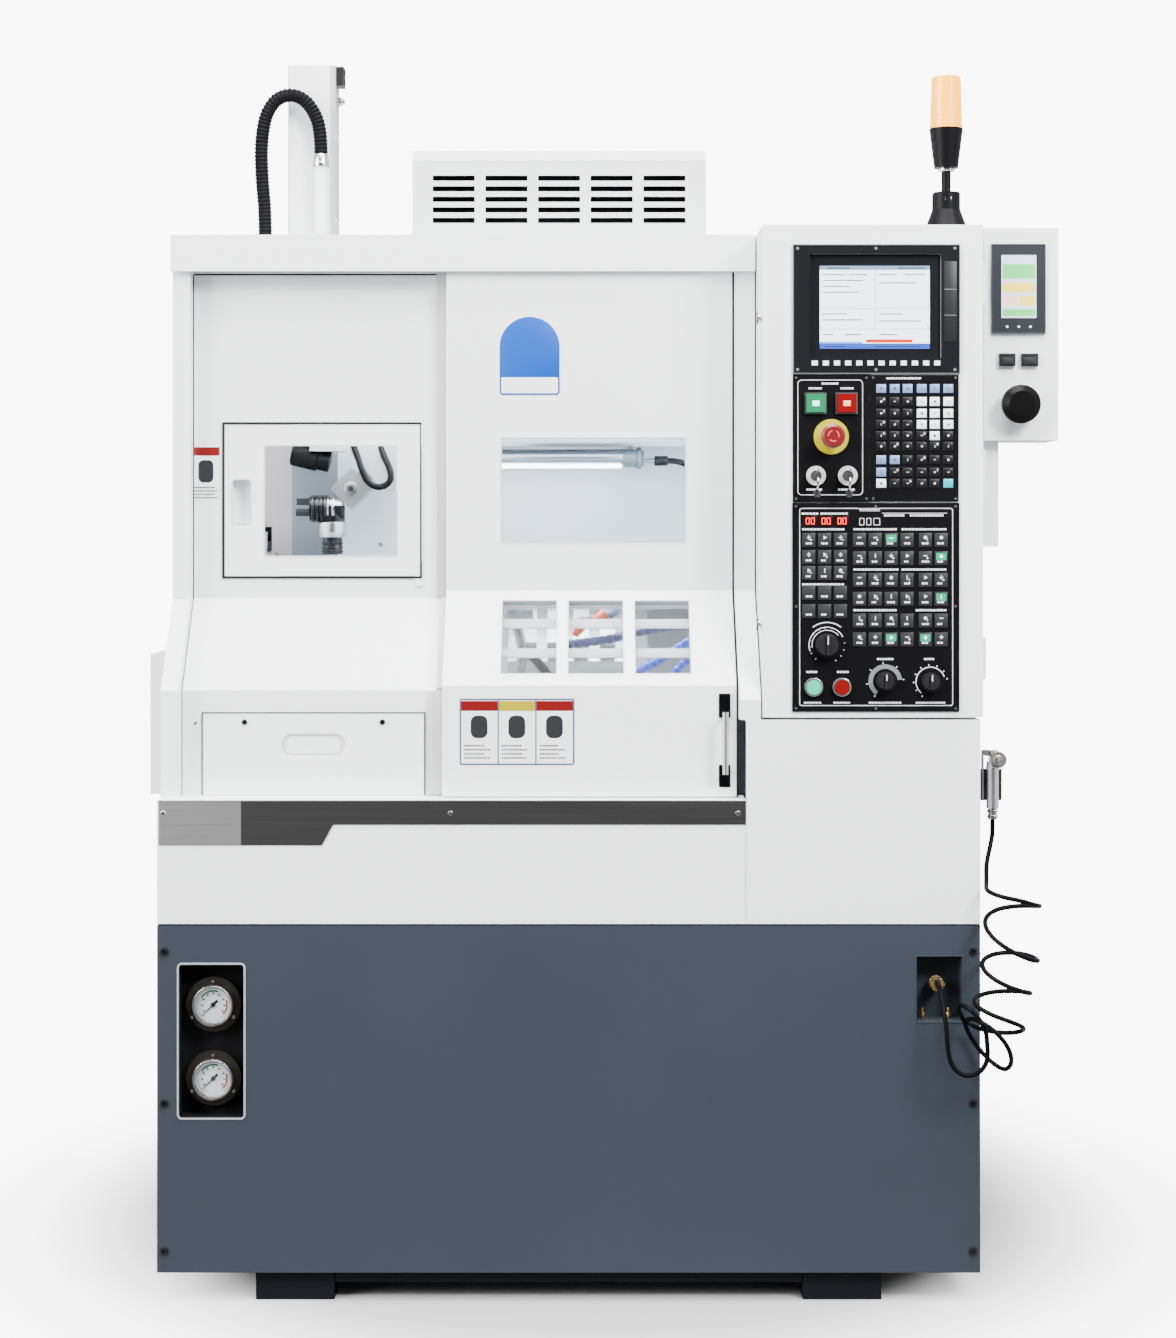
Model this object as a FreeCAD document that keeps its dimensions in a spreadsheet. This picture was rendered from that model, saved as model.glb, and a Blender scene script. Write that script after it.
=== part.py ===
"""A CNC turning lathe with a sliding door, a loading hatch, a control box and a part loader.

Millimetres, +X to the right, +Y to the back, +Z up. Places are measured from the machine's datum,
the middle of the casing's front edge at the floor, and datum_x and datum_y carry them to the origin.
"""

import FreeCAD, Part
import math
import os
import re

import Sketcher

doc = FreeCAD.newDocument("lathe")

# ---------------------------------------------------------------- driving dimensions
SIZES = {
    # the datum's place, so that the origin is at the middle of the whole machine's floor plan
    "datum_x": -37.5,
    "datum_y": -602.5,
    # sheet metal, clearances and the running gap of everything that turns
    "skin": 3,
    "plate": 6,
    "gap": 0.3,
    "running_gap": 0.05,
    # casing of the base
    "base_wide": 1400,
    "base_deep": 1250,
    "foot_tall": 51,
    "base_top": 641,
    "seam": 3,
    "foot_wide": 134,
    "foot_in": 166,
    "skirt_bottom": 30,
    # lower body, ledge and enclosure
    "ledge": 855,
    "shelf": 991,
    "panel_split": 302,
    "roof_top": 1833,
    "header_bottom": 1769,
    "header_front": 137,
    "header_right": 327,
    # the slanting front: depth below and above the slope, and the height of its two creases
    "post_low": 34,
    "post_high": 150,
    "post_crease_low": 1038,
    "post_crease_high": 1191,
    "post_wide": 31,
    "post_deep": 30,
    "fixed_low": 64,
    "fixed_high": 184,
    "fixed_crease_low": 1037,
    "fixed_crease_high": 1193,
    "right_post_left": 291,
    "right_post_crease": 1025,
    # main door
    "door_left": -217,
    "door_right": 290,
    "door_bottom": 857,
    "door_top": 1790,
    "door_low": 30,
    "door_high": 150,
    "door_thick": 27,
    "door_crease_low": 1047,
    "door_crease_high": 1207,
    "pane": 8,
    "pane_step": 6,
    "window_left": -120,
    "window_right": 205,
    "window_bottom": 1292,
    "window_top": 1476,
    "light_wide": 95,
    "light_pitch": 116,
    "light_tall": 153,
    "light_down": 22,
    "handle_x": 267,
    "handle_bar": 5,
    "handle_reach": 30,
    "rail_z": 1797,
    "rail_tall": 14,
    # loading hatch
    "hatch_left": -617,
    "hatch_right": -262,
    "hatch_bottom": 1228,
    "hatch_top": 1505,
    "hatch_gap": 4,
    "hinge_x": -268,
    "knuckle": 4,
    "pin": 2,
    "view_left": -542,
    "view_right": -307,
    "view_bottom": 1268,
    "view_top": 1463,
    # vent box on the roof
    "vent_left": -292,
    "vent_right": 251,
    "vent_tall": 185,
    "vent_front": 350,
    "vent_back": 850,
    "vent_slope": 21,
    "slot_wide": 78,
    "slot_tall": 10,
    "slot_pitch_x": 97.4,
    "slot_pitch_z": 19.5,
    "slot_rise": 48.3,
    # control box
    "box_left": 330,
    "box_right": 705,
    "box_bottom": 995,
    "box_deep": 300,
    "lid_deep": 24,
    "board": 3,
    # spindle, bed and slides
    "spindle_y": 485,
    "spindle_z": 1220,
    "spindle_bore": 40,
    "spindle_nose": 52,
    "head_left": -680,
    "head_right": -590,
    "nose_right": -545,
    "bed_left": -660,
    "bed_right": 280,
    "bed_front": 420,
    "bed_low": 760,
    "bed_rise": 530,
    "bed_back": 1000,
    "rail_wide": 30,
    "rail_high": 25,
    "carriage_thick": 70,
    "slide_thick": 55,
    # loader
    "column_left": -534,
    "column_right": -453,
    "column_front": 450,
    "column_deep": 70,
    "column_top": 2193,
    "column_bottom": 1500,
    "head_x": -416,
    "head_z": 1392,
    "pivot_reach": 44,
    "pivot_shaft": 6,
    "grip_drop": 38,
    "conduit_x": -470,
    "conduit_radius": 13,
    "conduit_top": 2021,
    "loom_x": -574,
    "loom_y": 425,
    # console, lamp and gun
    "console_left": 714,
    "console_right": 842,
    "console_front": 46,
    "console_deep": 120,
    "console_bottom": 1468,
    "lamp_x": 654,
    "lamp_y": 80,
    "gauge_x": -607,
    "gauge_low": 377,
    "gauge_high": 503,
    "hose_bore": 4,
    "gun_out": 31,
    "gun_y": 60,
}

sheet = doc.addObject("Spreadsheet::Sheet", "sizes")
for row, (alias, number) in enumerate(SIZES.items(), start=1):
    sheet.set(f"A{row}", alias)
    sheet.set(f"B{row}", str(number))
    sheet.setAlias(f"B{row}", alias)
doc.recompute()

NAME = re.compile(r"[a-z][a-z0-9_]*")
PIECES = []


def size(alias):
    return float(sheet.get(alias))


def formula(text):
    """A FreeCAD expression from one that names the sheet's cells by their aliases alone."""
    return NAME.sub(lambda m: f"sizes.{m.group()}" if m.group() in SIZES else m.group(), str(text))


def bind(thing, **values):
    for name, text in values.items():
        thing.setExpression(name.replace("__", "."), formula(text))


def place(thing, x, y, z):
    """Puts an object at a point that is measured from the machine's datum."""
    bind(thing, Placement__Base__x=f"datum_x + ({x})")
    bind(thing, Placement__Base__y=f"datum_y + ({y})")
    bind(thing, Placement__Base__z=f"{z}")


# ---------------------------------------------------------------- small builders
def box(x0, x1, y0, y1, z0, z1):
    """A block between two limits along each axis."""
    made = doc.addObject("Part::Box", "block")
    bind(made, Length=f"({x1}) - ({x0})", Width=f"({y1}) - ({y0})", Height=f"({z1}) - ({z0})")
    place(made, x0, y0, z0)
    return made


TURNS = {"x": ((0, 1, 0), 90), "y": ((1, 0, 0), -90), "z": ((0, 0, 1), 0)}


def rod(along, x, y, z, radius, length, tip=None):
    """A cylinder, or a cone that ends at radius tip, from a point along +X, +Y or +Z."""
    made = doc.addObject("Part::Cylinder" if tip is None else "Part::Cone", "rod")
    axis, angle = TURNS[along]
    made.Placement.Rotation = FreeCAD.Rotation(FreeCAD.Vector(*axis), angle)
    bind(made, Height=length)
    if tip is None:
        bind(made, Radius=radius)
    else:
        bind(made, Radius1=radius, Radius2=tip)
    place(made, x, y, z)
    return made


def slanted(x0, x1, y, z, back, thick, tall, run="door_high - door_low",
            rise="door_crease_high - door_crease_low"):
    """A block that leans back with the door's slope: from the point (y, z), thick deep and tall high."""
    made = doc.addObject("Part::Box", "leaning_block")
    lean = f"atan(({run}) / ({rise}))"
    bind(made, Length=f"({x1}) - ({x0})", Width=thick, Height=tall)
    made.Placement.Rotation = FreeCAD.Rotation(FreeCAD.Vector(-1, 0, 0), 30)
    bind(made, Placement__Rotation__Angle=lean)
    place(made, x0, f"{y} + ({back}) * cos({lean})", f"{z} - ({back}) * sin({lean})")
    return made


PLANES = {"yz": ("YZ_Plane", "x"), "xz": ("XZ_Plane", "y"), "xy": ("XY_Plane", "z")}


def prism(plane, start, end, outline):
    """A body padded from a sketch: an outline of (u, v) expressions on an origin plane."""
    body = doc.addObject("PartDesign::Body", "body")
    role, across = PLANES[plane]
    origin = next(f for f in body.Origin.OriginFeatures if f.Role == role)
    sketch = body.newObject("Sketcher::SketchObject", "outline")
    sketch.AttachmentSupport = [(origin, "")]
    sketch.MapMode = "FlatFace"
    corners = [(value_of(u), value_of(v)) for u, v in outline]
    count = len(corners)
    for k, (u, v) in enumerate(corners):
        after = corners[(k + 1) % count]
        sketch.addGeometry(Part.LineSegment(FreeCAD.Vector(u, v, 0), FreeCAD.Vector(*after, 0)), False)
    for k in range(count):
        sketch.addConstraint(Sketcher.Constraint("Coincident", k, 2, (k + 1) % count, 1))
    for k, (u, v) in enumerate(outline):
        for kind, text, number in (("DistanceX", u, corners[k][0]), ("DistanceY", v, corners[k][1])):
            row = sketch.addConstraint(Sketcher.Constraint(kind, -1, 1, k, 1, number))
            sketch.setExpression(f"Constraints[{row}]", formula(text))
    pad = body.newObject("PartDesign::Pad", "pad")
    pad.Profile = sketch
    bind(pad, Length=f"({end}) - ({start})")
    outwards = -1 if plane == "xz" else 1
    pad.Reversed = plane == "xz"
    bind(sketch, AttachmentOffset__Base__z=f"{outwards} * ({start})")
    place(body, 0, 0, 0)
    return body


def turned(along, x, y, z, outline):
    """A body revolved about an axis from a sketch of (radius, distance along the axis) expressions."""
    body = doc.addObject("PartDesign::Body", "turned_body")
    origin = next(f for f in body.Origin.OriginFeatures if f.Role == "XZ_Plane")
    sketch = body.newObject("Sketcher::SketchObject", "half_section")
    sketch.AttachmentSupport = [(origin, "")]
    sketch.MapMode = "FlatFace"
    corners = [(value_of(u), value_of(v)) for u, v in outline]
    count = len(corners)
    for k, (u, v) in enumerate(corners):
        after = corners[(k + 1) % count]
        sketch.addGeometry(Part.LineSegment(FreeCAD.Vector(u, v, 0), FreeCAD.Vector(*after, 0)), False)
    for k in range(count):
        sketch.addConstraint(Sketcher.Constraint("Coincident", k, 2, (k + 1) % count, 1))
    for k, (u, v) in enumerate(outline):
        for kind, text, number in (("DistanceX", u, corners[k][0]), ("DistanceY", v, corners[k][1])):
            row = sketch.addConstraint(Sketcher.Constraint(kind, -1, 1, k, 1, number))
            sketch.setExpression(f"Constraints[{row}]", formula(text))
    spin = body.newObject("PartDesign::Revolution", "revolution")
    spin.Profile = sketch
    spin.ReferenceAxis = (sketch, ["V_Axis"])
    spin.Angle = 360
    axis, angle = TURNS[along]
    body.Placement.Rotation = FreeCAD.Rotation(FreeCAD.Vector(*axis), angle)
    place(body, x, y, z)
    return body


def value_of(text):
    """An expression's number, for a sketch's first drawing; its constraints then hold the expression."""
    names = {alias: size(alias) for alias in SIZES if re.search(rf"\b{alias}\b", str(text))}
    total = re.sub(NAME, lambda m: repr(names[m.group()]), str(text))
    probe = doc.getObject("probe") or doc.addObject("App::FeaturePython", "probe")
    if "Reading" not in probe.PropertiesList:
        probe.addProperty("App::PropertyFloat", "Reading")
    return float(probe.evalExpression(total))


def fused(*parts):
    if len(parts) == 1:
        return parts[0]
    made = doc.addObject("Part::MultiFuse", "fusion")
    made.Shapes = list(parts)
    return made


def cut(whole, *tools):
    made = doc.addObject("Part::Cut", "cut")
    made.Base = whole
    made.Tool = fused(*tools)
    return made


def group(parts):
    made = doc.addObject("Part::Compound", "group")
    made.Links = list(parts)
    return made


def shaped(shape, x=0, y=0, z=0):
    """A shape made by code, placed from the machine's datum."""
    made = doc.addObject("Part::Feature", "shaped")
    made.Shape = shape
    place(made, x, y, z)
    return made


def piece(name, made):
    made.Label = name
    PIECES.append(made)


# ---------------------------------------------------------------- base
def base():
    side, top = "base_wide / 2", "base_top"
    outer = box(f"-{side}", side, 0, "base_deep", "foot_tall", top)
    inner = box(f"-{side} + plate", f"{side} - plate", "plate", "base_deep - plate",
                "foot_tall + plate", f"{top} - plate")
    pans = (("-663", "-552", "314", "575", 40), ("592", "669", "478", "588", 43))
    linings = [box(f"{a} - skin", f"{b} + skin", 1, f"{deep} + skin", f"{c} - skin", f"{d} + skin")
               for a, b, c, d, deep in pans]
    hollows = [box(a, b, -1, deep, c, d) for a, b, c, d, deep in pans]
    piece("base_casing", cut(fused(cut(outer, inner), *linings), *hollows))
    feet = []
    for sign in (-1, 1):
        for front in ("foot_wide / 8", "base_deep - foot_wide * 9 / 8"):
            left = f"{sign} * (base_wide / 2 - foot_in - foot_wide / 2) - foot_wide / 2"
            feet.append(box(left, f"{left} + foot_wide", front, f"{front} + foot_wide", 0, "foot_tall"))
    feet.append(box("foot_in + foot_wide - base_wide / 2 + 2", "base_wide / 2 - foot_in - foot_wide - 2",
                    "foot_wide / 8", "foot_wide / 8 + 20", "skirt_bottom", "foot_tall"))
    piece("base_feet", group(feet))
    cavity = box("-foot_wide * 2", "foot_wide * 2", "plate + 30", "base_deep / 2", "foot_tall + plate", "450")
    bore = box("-foot_wide * 2 + skin", "foot_wide * 2 - skin", "plate + 30 + skin", "base_deep / 2 - skin",
               "foot_tall + plate + skin", "470")
    pump = fused(rod("z", 150, 300, "foot_tall + plate + skin", 55, 300),
                 rod("z", 150, 300, "foot_tall + plate + skin + 300", 70, 170))
    piece("coolant_tank", fused(cut(cavity, bore), pump))


def gauges():
    """The two pressure gauges in the left recess, and the air fitting in the right one."""
    cases = []
    for z in ("gauge_low", "gauge_high"):
        cases.append(turned("y", "gauge_x", 8, z, [
            ("0", "12"), ("32", "12"), ("32", "3"), ("35", "0"), ("35", "14"), ("47", "14"), ("47", "18"),
            ("33", "18"), ("33", "32"), ("0", "32")]))
        name = "low_gauge_needle" if z == "gauge_low" else "high_gauge_needle"
        hub = rod("y", "gauge_x", "20 - gap - 3", z, 4, 3)
        # the arm points down to the left, where the scale starts, and its tail is wider
        arm = prism("xz", "20 - gap - 2", "20 - gap - 1", [
            (f"gauge_x {u}", f"{z} {v}") for u, v in (("- 18.66", "- 18.1"), ("- 0.85", "+ 0.85"), ("+ 5.3", "+ 8.84"),
                                                     ("+ 8.84", "+ 5.3"), ("+ 0.85", "- 0.85"), ("- 18.1", "- 18.66"))])
        piece(name, fused(hub, arm))
    cases.append(fused(rod("y", 628, 12, 540, 8.5, 31), rod("y", 628, 20, 540, 12, 8)))
    piece("air_fittings", group(cases))


# ---------------------------------------------------------------- enclosure
def lower_front():
    low = "base_top + seam"
    left = fused(box("-base_wide / 2 + skin", "panel_split - 1", 0, "skin", low, "ledge"),
                 box("-base_wide / 2 + skin", "panel_split - 1", "skin", "fixed_low + skin", "ledge - skin", "ledge"),
                 box("-base_wide / 2 + 20", "panel_split - 1", "skin", "skin + 20", "base_top", f"{low} + 10"))
    right = fused(box("panel_split", "base_wide / 2 - skin", 0, "skin", low, "shelf"),
                  box("panel_split", "base_wide / 2 - 20", "skin", "skin + 20", "base_top", f"{low} + 10"),
                  box("panel_split", "base_wide / 2 - skin", "skin", "box_deep", "shelf - skin", "shelf"))
    piece("lower_panels", group([left, right]))
    strip = prism("xz", "-1.5", "0", [
        ("-base_wide / 2 + skin", "778"), ("-419", "778"), ("-400", "813"), ("panel_split - 1", "813"),
        ("panel_split - 1", "ledge - 1"), ("-base_wide / 2 + skin", "ledge - 1")])
    piece("trim_strip", strip)


def front_sheet(deep):
    """The slanting sheet's corners in (y, z), deep thick from its front face."""
    front = [("fixed_low", "ledge"), ("fixed_low", "fixed_crease_low"), ("fixed_high", "fixed_crease_high"),
             ("fixed_high", "header_bottom + 20")]
    back = [(f"{y} + {deep}", z) for y, z in reversed(front)]
    return front + back


def enclosure():
    side = "base_wide / 2"
    low = "base_top + seam"
    left_side = prism("yz", f"-{side}", f"-{side} + skin", [
        ("0", low), ("0", "ledge"), ("post_low", "ledge"), ("post_low", "post_crease_low"),
        ("post_high", "post_crease_high"), ("post_high", "roof_top - skin"),
        ("base_deep - skin", "roof_top - skin"), ("base_deep - skin", low)])
    right_side = prism("yz", f"{side} - skin", side, [
        ("0", low), ("0", "shelf"), ("box_deep", "shelf"), ("box_deep", "roof_top - skin"),
        ("base_deep - skin", "roof_top - skin"), ("base_deep - skin", low)])
    duct = box(f"-{side} - 67", f"-{side}", 300, 620, 831, 1087)
    piece("side_panels", group([fused(left_side, duct), right_side]))
    posts = [
        prism("yz", f"-{side} + skin", f"-{side} + post_wide", [
            ("post_low", "ledge"), ("post_low", "post_crease_low"), ("post_high", "post_crease_high"),
            ("post_high", "roof_top - skin"), ("post_high + post_deep", "roof_top - skin"),
            ("post_high + post_deep", "post_crease_high - 10"), ("post_low + post_deep", "post_crease_low - 10"),
            ("post_low + post_deep", "ledge")]),
        prism("yz", "right_post_left", "header_right", [
            ("0", "shelf"), ("0", "right_post_crease"), ("post_high", "door_crease_high"),
            ("post_high", "roof_top - skin"), ("post_high + 150", "roof_top - skin"), ("post_high + 150", "shelf")]),
    ]
    piece("corner_posts", group(posts))
    sheet_left = prism("yz", f"-{side} + post_wide", "-195", front_sheet("skin"))
    hole = box("hatch_left", "hatch_right", 0, 400, "hatch_bottom", "hatch_top")
    middle = "fixed_high + skin / 2 - 1"
    lugs = []
    bores = []
    for z0, z1 in (("hatch_bottom - 14", "hatch_bottom"), ("hatch_top", "hatch_top + 14")):
        lugs.append(box("hinge_x - 6", "hinge_x + 6", f"{middle} - knuckle", f"{middle} + knuckle", z0, z1))
        bores.append(rod("z", "hinge_x", middle, f"{z0} - 1", "pin + running_gap", "16"))
    piece("left_front_panel", cut(fused(sheet_left, *lugs), hole, *bores))
    cover_plate = box(-632, -250, "fixed_low - 2", "fixed_low", "ledge + 1", 997)
    slot = fused(box(-481, -402, 0, 90, 929, 961), rod("y", -481, 0, 945, 16, 90), rod("y", -402, 0, 945, 16, 90))
    piece("access_cover", cut(cover_plate, slot))
    rear = box(f"-{side}", side, "base_deep - skin", "base_deep", low, "roof_top - skin")
    piece("rear_panel", rear)


def roof():
    front_part = box("-base_wide / 2 - 2", "header_right", "header_front", "base_deep", "roof_top - skin", "roof_top")
    right_part = box("header_right", "base_wide / 2", "box_deep", "base_deep", "roof_top - skin", "roof_top")
    header = box("-base_wide / 2 - 2", "header_right", "header_front", "header_front + skin",
                 "header_bottom", "roof_top - skin")
    hatchway = box("column_left - 12", "column_right + 12", "column_front - 34", "column_front + column_deep + 12",
                   "roof_top - 50", "roof_top + 50")
    draught = box("vent_left + 60", "vent_right - 60", "vent_front + 60", "vent_back - 60",
                  "roof_top - 50", "roof_top + 50")
    piece("roof_panel", cut(fused(front_part, right_part, header), hatchway, draught))
    top = "roof_top + vent_tall"
    outline = [("vent_front", "roof_top"), ("vent_front", f"{top} - vent_slope"),
               ("vent_front + vent_slope", top), ("vent_back", top), ("vent_back", "roof_top")]
    inside = [("vent_front + skin", "roof_top - 1"), ("vent_front + skin", f"{top} - vent_slope - 1"),
              ("vent_front + vent_slope + 1", f"{top} - skin"), ("vent_back - skin", f"{top} - skin"),
              ("vent_back - skin", "roof_top - 1")]
    shell = cut(prism("yz", "vent_left", "vent_right", outline),
                prism("yz", "vent_left + skin", "vent_right - skin", inside))
    slots = []
    for column in range(5):
        for row_up in range(5):
            left = f"(vent_left + vent_right) / 2 + ({column} - 2) * slot_pitch_x - slot_wide / 2"
            low = f"roof_top + slot_rise + {row_up} * slot_pitch_z"
            slots.append(box(left, f"{left} + slot_wide", "vent_front - 1", "vent_front + skin + 1",
                             low, f"{low} + slot_tall"))
    piece("vent_box", cut(shell, *slots))
    rail = box("-base_wide / 2 + post_wide + gap", "right_post_left - gap", "door_high + 8", "door_high + 20",
               "rail_z", "rail_z + rail_tall")
    hangers = [box(x, f"{x} + 30", "door_high + 8", "door_high + 20", "rail_z + rail_tall", "roof_top - skin")
               for x in (-600, -150, 240)]
    piece("door_rail", fused(rail, *hangers))


# ---------------------------------------------------------------- main door and hatch
def main_door():
    front = [("door_low", "door_bottom"), ("door_low", "door_crease_low"), ("door_high", "door_crease_high"),
             ("door_high", "door_top")]
    back = [("door_high + door_thick", "door_top"), ("door_high + door_thick", "door_crease_high - 9"),
            ("door_low + door_thick", "door_crease_low - 7"), ("door_low + door_thick", "door_bottom")]
    panel = prism("yz", "door_left", "door_right", front + back)
    upper = box("window_left", "window_right", 100, 250, "window_bottom", "window_top")
    slope = "sqrt((door_high - door_low)^2 + (door_crease_high - door_crease_low)^2)"
    down = f"({slope} - light_down - light_tall) / {slope}"
    y = f"door_low + (door_high - door_low) * {down}"
    z = f"door_crease_low + (door_crease_high - door_crease_low) * {down}"
    openings = [upper]
    panes = [box("window_left", "window_right", "door_high + pane_step", "door_high + pane_step + pane",
                 "window_bottom", "window_top")]
    for k in range(3):
        left = f"-117 + {k} * light_pitch"
        right = f"{left} + light_wide"
        openings.append(slanted(left, right, y, z, -20, 80, "light_tall"))
        panes.append(slanted(left, right, y, z, "pane_step", "pane", "light_tall"))
    clamps = []
    for x in (-180, 200):
        clamps.append(box(x, f"{x} + 50", "door_high + 2", "door_high + 7", "door_top", "rail_z + rail_tall - 1"))
        clamps.append(box(x, f"{x} + 50", "door_high + 7", "door_high + 20", "door_top", "rail_z - gap"))
    piece("door_panel", fused(cut(panel, *openings), *clamps))
    piece("door_windows", group(panes))
    grip = [rod("z", "handle_x", "door_low - handle_reach", 898, "handle_bar", 106)]
    for z0, z1, stem in ((875, 910, 903), (994, 1032, 999)):
        grip.append(box("handle_x - 9", "handle_x + 9", "door_low - 3", "door_low", z0, z1))
        grip.append(rod("y", "handle_x", "door_low - handle_reach", stem, "handle_bar - 1", "handle_reach - 2"))
    piece("door_handle", fused(*grip))


def hatch():
    front = "fixed_high - 1"
    leaf = box("hatch_left + hatch_gap", "hinge_x", front, f"{front} + skin",
               "hatch_bottom + hatch_gap", "hatch_top - hatch_gap")
    axis = "fixed_high + skin / 2 - 1"
    barrel = rod("z", "hinge_x", axis, "hatch_bottom + 0.5", "knuckle", "hatch_top - hatch_bottom - 1")
    pin = rod("z", "hinge_x", axis, "hatch_bottom - 12", "pin", "hatch_top - hatch_bottom + 24")
    view = box("view_left", "view_right", 0, 400, "view_bottom", "view_top")
    pull = box(-599, -567, 0, 400, 1325, 1403)
    cup = cut(box(-602, -564, f"{front} + skin", f"{front} + skin + 20", 1322, 1406),
              box(-599, -567, 0, f"{front} + skin + 17", 1325, 1403))
    piece("hatch_door", cut(fused(leaf, barrel, pin, cup), view, pull_cut(pull)))
    piece("hatch_window", box("view_left - 10", "view_right + 10", f"{front} + skin", f"{front} + skin + 5",
                              "view_bottom - 10", "view_top + 10"))


def pull_cut(pull):
    """The pull slot goes through the leaf and not through the cup behind it."""
    bind(pull, Width="fixed_high + 18")
    return pull


# ---------------------------------------------------------------- control box
def control_box():
    shell = cut(box("box_left", "box_right", "lid_deep + 3", "box_deep", "box_bottom", "roof_top"),
                box("box_left + skin", "box_right - skin", 0, "box_deep - skin", "box_bottom + skin",
                    "roof_top - skin"))
    lid = cut(box("box_left", "box_right", 0, "lid_deep", "box_bottom", "roof_top"),
              box("box_left + skin", "box_right - skin", "skin", 200, "box_bottom + skin", "roof_top - skin"))
    barrels = []
    fixed = []
    pins = []
    for z0, z1 in ((1059, 1129), (1379, 1450), (1700, 1771)):
        mid = f"({z0} + {z1}) / 2"
        barrels.append(rod("z", "box_right + 5", "lid_deep + 1.5", z0, 4, f"{mid} - {z0}"))
        barrels.append(box("box_right", "box_right + 5", "lid_deep - 2", "lid_deep", z0, mid))
        fixed.append(rod("z", "box_right + 5", "lid_deep + 1.5", f"{mid} + gap", 4, f"{z1} - {mid} - gap"))
        fixed.append(box("box_right", "box_right + 5", "lid_deep + 3", "lid_deep + 6", f"{mid} + gap", z1))
        fixed.append(rod("z", "box_right + 5", "lid_deep + 1.5", f"{z0} + 5", "pin", f"{mid} - {z0}"))
        pins.append(rod("z", "box_right + 5", "lid_deep + 1.5", f"{z0} - 1", "pin + running_gap", f"{mid} - {z0} + 2"))
    piece("control_box", fused(shell, *fixed))
    screen_hole = box(410, 633, -1, "skin + 1", 1606, 1783)
    piece("control_door", cut(fused(lid, *barrels), screen_hole, *pins, *button_wells()))


def button_wells():
    """Bores through a board and the door's skin for the buttons that travel into them."""
    wells = [rod("y", 446, -10, 1472, "11 + gap", 20)]
    wells += [rod("y", x, -10, 1047, "12.4 + gap", 20) for x in (416, 464)]
    wells += [box(f"{x} - 16 - gap", f"{x} + 16 + gap", -10, 10, "1513.5 - gap", "1544.5 + gap")
              for x in (419.5, 472)]
    return wells


def boards():
    """The display unit and the three boards of keys on the control door."""
    bezel = cut(box(381, 665, -5, 0, 1579, 1799), box(410, 633, -6, 1, 1606, 1783))
    display = fused(bezel, box(410, 633, "skin - 1", "skin", 1606, 1783))
    plates = [display, box(381, 511.5, "-board", 0, 1361, 1578), box(512, 663, "-board", 0, 1362, 1577),
              box(380, 664, "-board", 0, 1005, 1360)]
    wells = button_wells()
    plates[1] = cut(plates[1], wells[0], *wells[3:])
    plates[3] = cut(plates[3], *wells[1:3])
    piece("control_boards", group(plates))
    keys = []
    for k in range(12):
        keys.append(box(f"413 + {k} * 18.9", f"423 + {k} * 18.9", -7, -5, 1593, 1601))
    for z in (1554, 1532, 1512, 1493, 1474, 1456, 1433, 1412, 1393):
        for x in (531, 554, 576, 600, 622, 645):
            keys.append(box(f"{x} - 8.2", f"{x} + 8.2", "-board - 2", "-board", f"{z} - 7.4", f"{z} + 7.4"))
    for z in (1297, 1268, 1241, 1207, 1176):
        for x in (408, 435, 462):
            keys.append(box(f"{x} - 11", f"{x} + 11", "-board - 2", "-board", f"{z} - 11.7", f"{z} + 11.7"))
    for z in (1297, 1266, 1229, 1197, 1160, 1128):
        for x in (494, 521, 548, 575, 606, 633):
            keys.append(box(f"{x} - 11", f"{x} + 11", "-board - 2", "-board", f"{z} - 11.7", f"{z} + 11.7"))
    piece("panel_keys", group(keys))


def ring(x, z, outer, inner, tall):
    """A bezel on a board, standing tall out of it, with a bore for what moves in it."""
    return cut(rod("y", x, f"-board - {tall}", z, outer, tall), rod("y", x, f"-board - {tall} - 1", z, inner,
                                                                  f"{tall} + 2"))


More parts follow.
